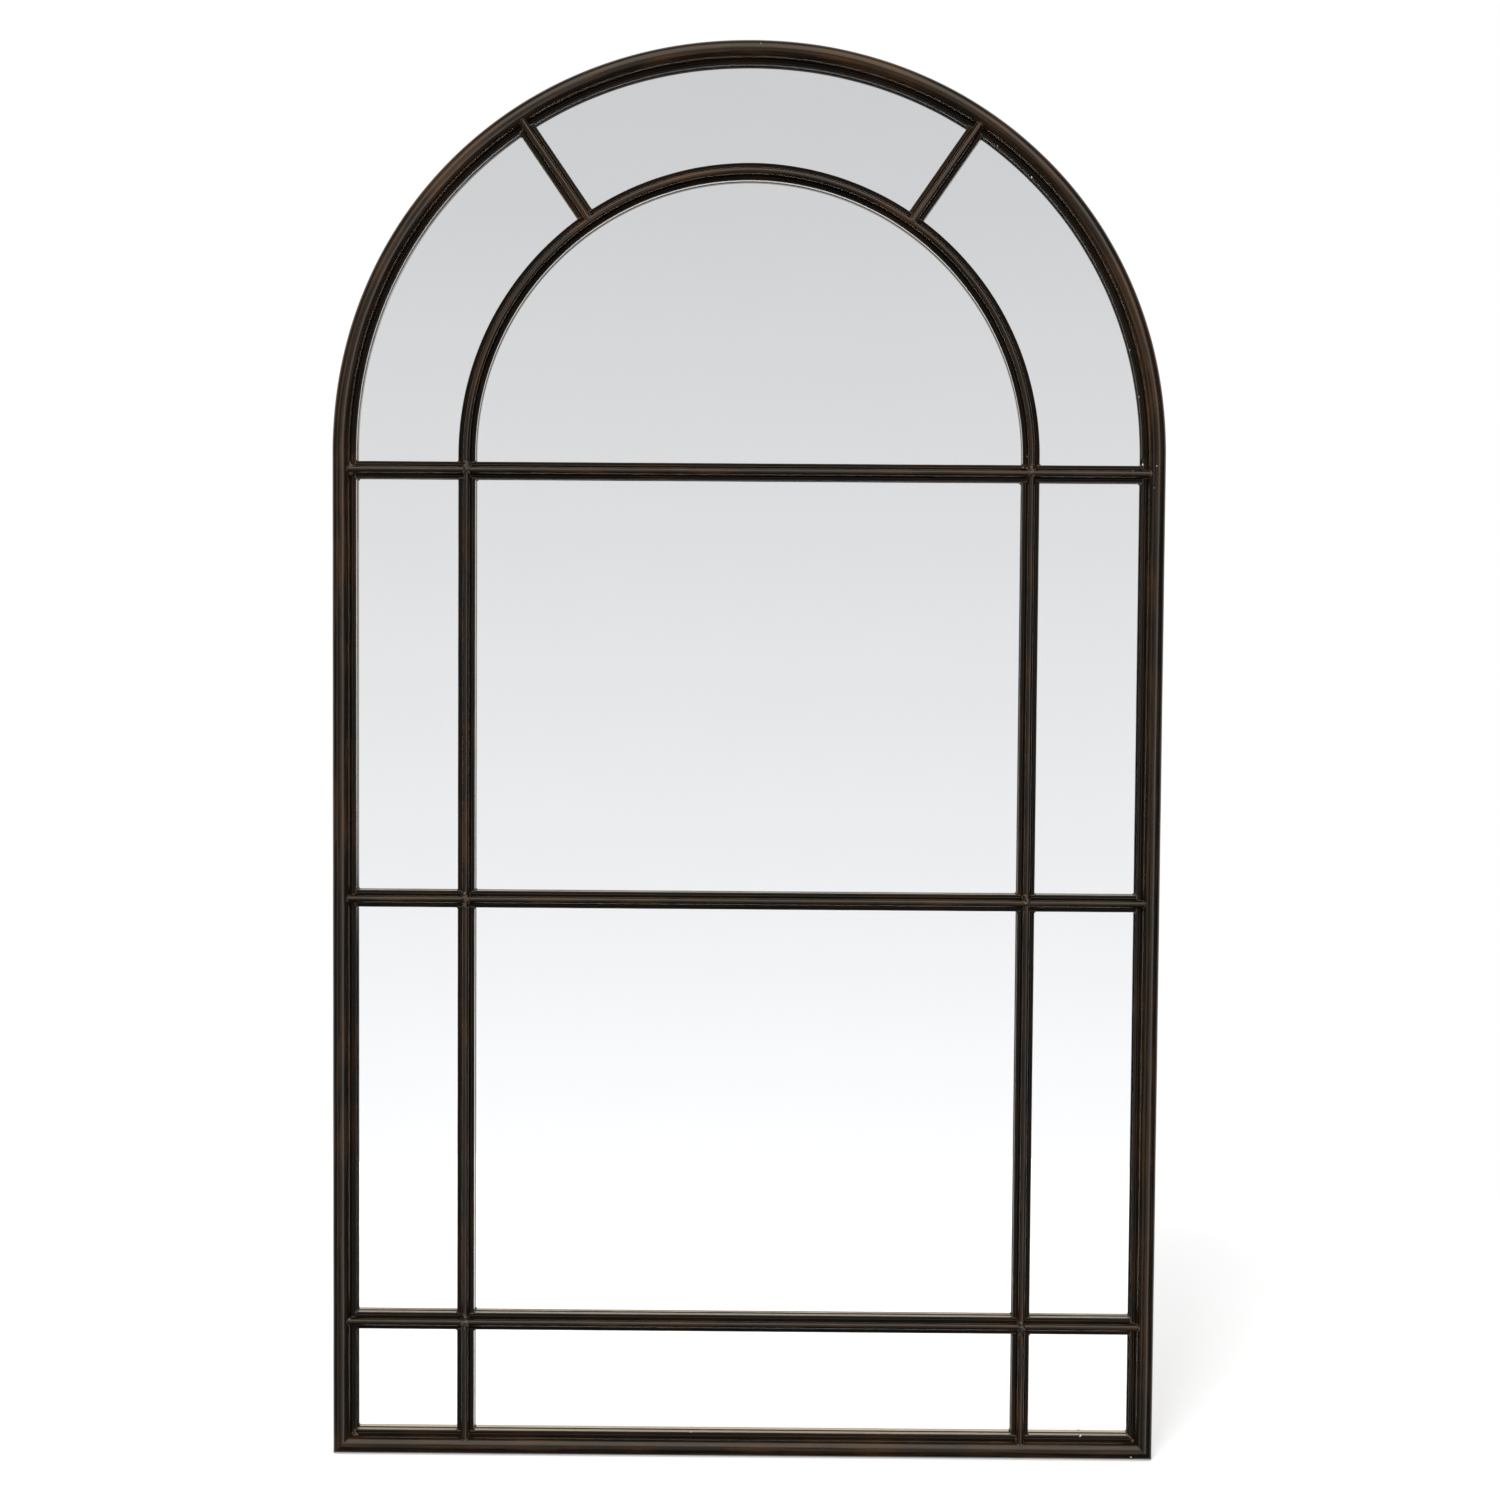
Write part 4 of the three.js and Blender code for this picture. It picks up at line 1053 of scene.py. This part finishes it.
bpy.ops.mesh.primitive_circle_add(
    vertices=96, radius=studio["floorRadius"], fill_type="NGON", location=(0, 0.1, 0))
floor = bpy.context.object
floor.name = "studio_floor"
floorMaterial, add, here = newMaterial("pale_studio_floor")
mottle = add("TexNoise", {"Vector": here, "Scale": 1 / (500 * mm), "Detail": 3.0})
tone = add("Mix", {0: mottle, 6: linear(studio["floor"]), 7: linear("eeeeee")}, data_type="RGBA")
ray = add("LightPath").outputs
seen = add("Math", {0: ray["Is Camera Ray"], 1: ray["Is Glossy Ray"]}, operation="MAXIMUM")
seenAny = add("Math", {0: seen, 1: ray["Is Transmission Ray"]}, operation="MAXIMUM")
glow = add("Math", {0: seenAny, 1: studio["floorGlow"]}, operation="MULTIPLY")
shader = add("BsdfPrincipled", {"Base Color": tone, "Roughness": 0.9, "Specular IOR Level": 0.1,
                                "Emission Color": grey(1.0), "Emission Strength": glow})
add("OutputMaterial", {"Surface": shader})
floor.data.materials.append(floorMaterial)
floor.visible_glossy = False     # below the horizon too, panes and steel show what the world gives them

# The studio as the panes and the steel see it. The panes show a pale backdrop that is greyer towards the
# top. The steel shows a dark room with soft cards in it. Matt surfaces get an even level.
world = bpy.data.worlds.new("studio")
scene.world = world
world.use_nodes = True
world.cycles.sampling_method = "NONE"
world.node_tree.nodes.clear()
add = partial(addNode, world.node_tree)
towards = add("SeparateXYZ", {0: add("TexCoord").outputs["Generated"]}).outputs
inPanes = add("ValToRGB", {"Fac": add("MapRange", {"Value": towards["Z"], "From Min": -1.0, "From Max": 1.0})})
stops = inPanes.color_ramp.elements
while len(stops) < len(studio["paneBackdrop"]):
    stops.new(0.5)
for stop, (angle, level) in zip(stops, studio["paneBackdrop"]):
    stop.position = (math.sin(math.radians(angle)) + 1) / 2
    stop.color = (level * 0.99, level, level * 1.015, 1)

# Azimuth is 0 towards -Y and 90 towards +X. Both angles are in radians.
towardsViewer = add("Math", {0: towards["Y"], 1: -1.0}, operation="MULTIPLY")
azimuth = add("Math", {0: towards["X"], 1: towardsViewer}, operation="ARCTAN2")
elevation = add("Math", {0: towards["Z"]}, operation="ARCSINE")


# 1 within "reach" degrees of the middle, 0 past the card's soft edge.
def nearness(angle, middle, reach):
    away = add("Math", {0: angle, 1: math.radians(middle)}, operation="SUBTRACT")
    size = add("Math", {0: away}, operation="ABSOLUTE")
    edge = math.radians(reach + studio["cardEdge"])
    return add("MapRange", {"Value": size, "From Min": edge, "From Max": math.radians(reach)},
               interpolation_type="SMOOTHSTEP")


isBehind = add("MapRange", {"Value": towards["Y"], "From Min": 0.05, "From Max": 0.5},
               interpolation_type="SMOOTHSTEP")
inSteel = add("Mix", {0: isBehind, 6: grey(studio["darkRoom"]), 7: grey(studio["behind"])}, data_type="RGBA")
for across, halfWidth, above, halfHeight, colour in studio["cards"]:
    sideways, upwards = nearness(azimuth, across, halfWidth), nearness(elevation, above, halfHeight)
    share = add("Math", {0: sideways, 1: upwards}, operation="MULTIPLY")
    inSteel = add("Mix", {0: share, 6: inSteel, 7: (*colour, 1.0)}, data_type="RGBA")
ray = add("LightPath").outputs
steelRay = add("Mix", {0: ray["Is Glossy Ray"], 6: grey(studio["skyLevel"]), 7: inSteel}, data_type="RGBA")
paneRay = add("Mix", {0: ray["Is Transmission Ray"], 6: steelRay, 7: inPanes}, data_type="RGBA")
final = add("Mix", {0: ray["Is Camera Ray"], 6: paneRay, 7: grey(1.0)}, data_type="RGBA")
add("OutputWorld", {"Surface": add("Background", {"Color": final, "Strength": 1.0})})


# A soft box: a square area lamp that faces the object's middle.
def softBox(name, where, size, power):
    lamp = bpy.data.lights.new(name, "AREA")
    lamp.shape = "SQUARE"
    lamp.size = size
    lamp.energy = power
    holder = bpy.data.objects.new(name, lamp)
    holder.location = where
    holder.rotation_euler = (Vector((0, 0, 0.9)) - Vector(where)).to_track_quat("-Z", "Y").to_euler()
    holder.visible_glossy = False
    holder.visible_transmission = False
    scene.collection.objects.link(holder)


softBox("top_box", (-0.7, -1.9, 3.5), 1.5, 80)
softBox("front_box", (-0.9, -2.9, 1.9), 1.3, 22)
softBox("rear_fill", (1.6, 2.6, 2.4), 1.6, 35)

view = {
    "focal": 53.59,          # mm on a 36 mm sensor, a square picture
    "place": (0.01788, -2.83529, 1.02536),
    "turns": (-0.282, -2.403, 0.395),        # yaw, pitch and roll in degrees
}
yaw, pitch, roll = map(math.radians, view["turns"])
forward = Vector((math.sin(yaw) * math.cos(pitch), math.cos(yaw) * math.cos(pitch), math.sin(pitch)))
levelRight = Vector((math.cos(yaw), -math.sin(yaw), 0))
levelUp = levelRight.cross(forward)
right = levelRight * math.cos(roll) + levelUp * math.sin(roll)
up = levelUp * math.cos(roll) - levelRight * math.sin(roll)
lens = bpy.data.cameras.new("photo_view")
lens.sensor_fit = "HORIZONTAL"
lens.sensor_width = 36
lens.lens = view["focal"]
eye = bpy.data.objects.new("photo_view", lens)
eye.matrix_world = Matrix.Translation(view["place"]) @ Matrix((right, up, -forward)).transposed().to_4x4()
scene.collection.objects.link(eye)
scene.camera = eye
scene.view_settings.view_transform = "Standard"
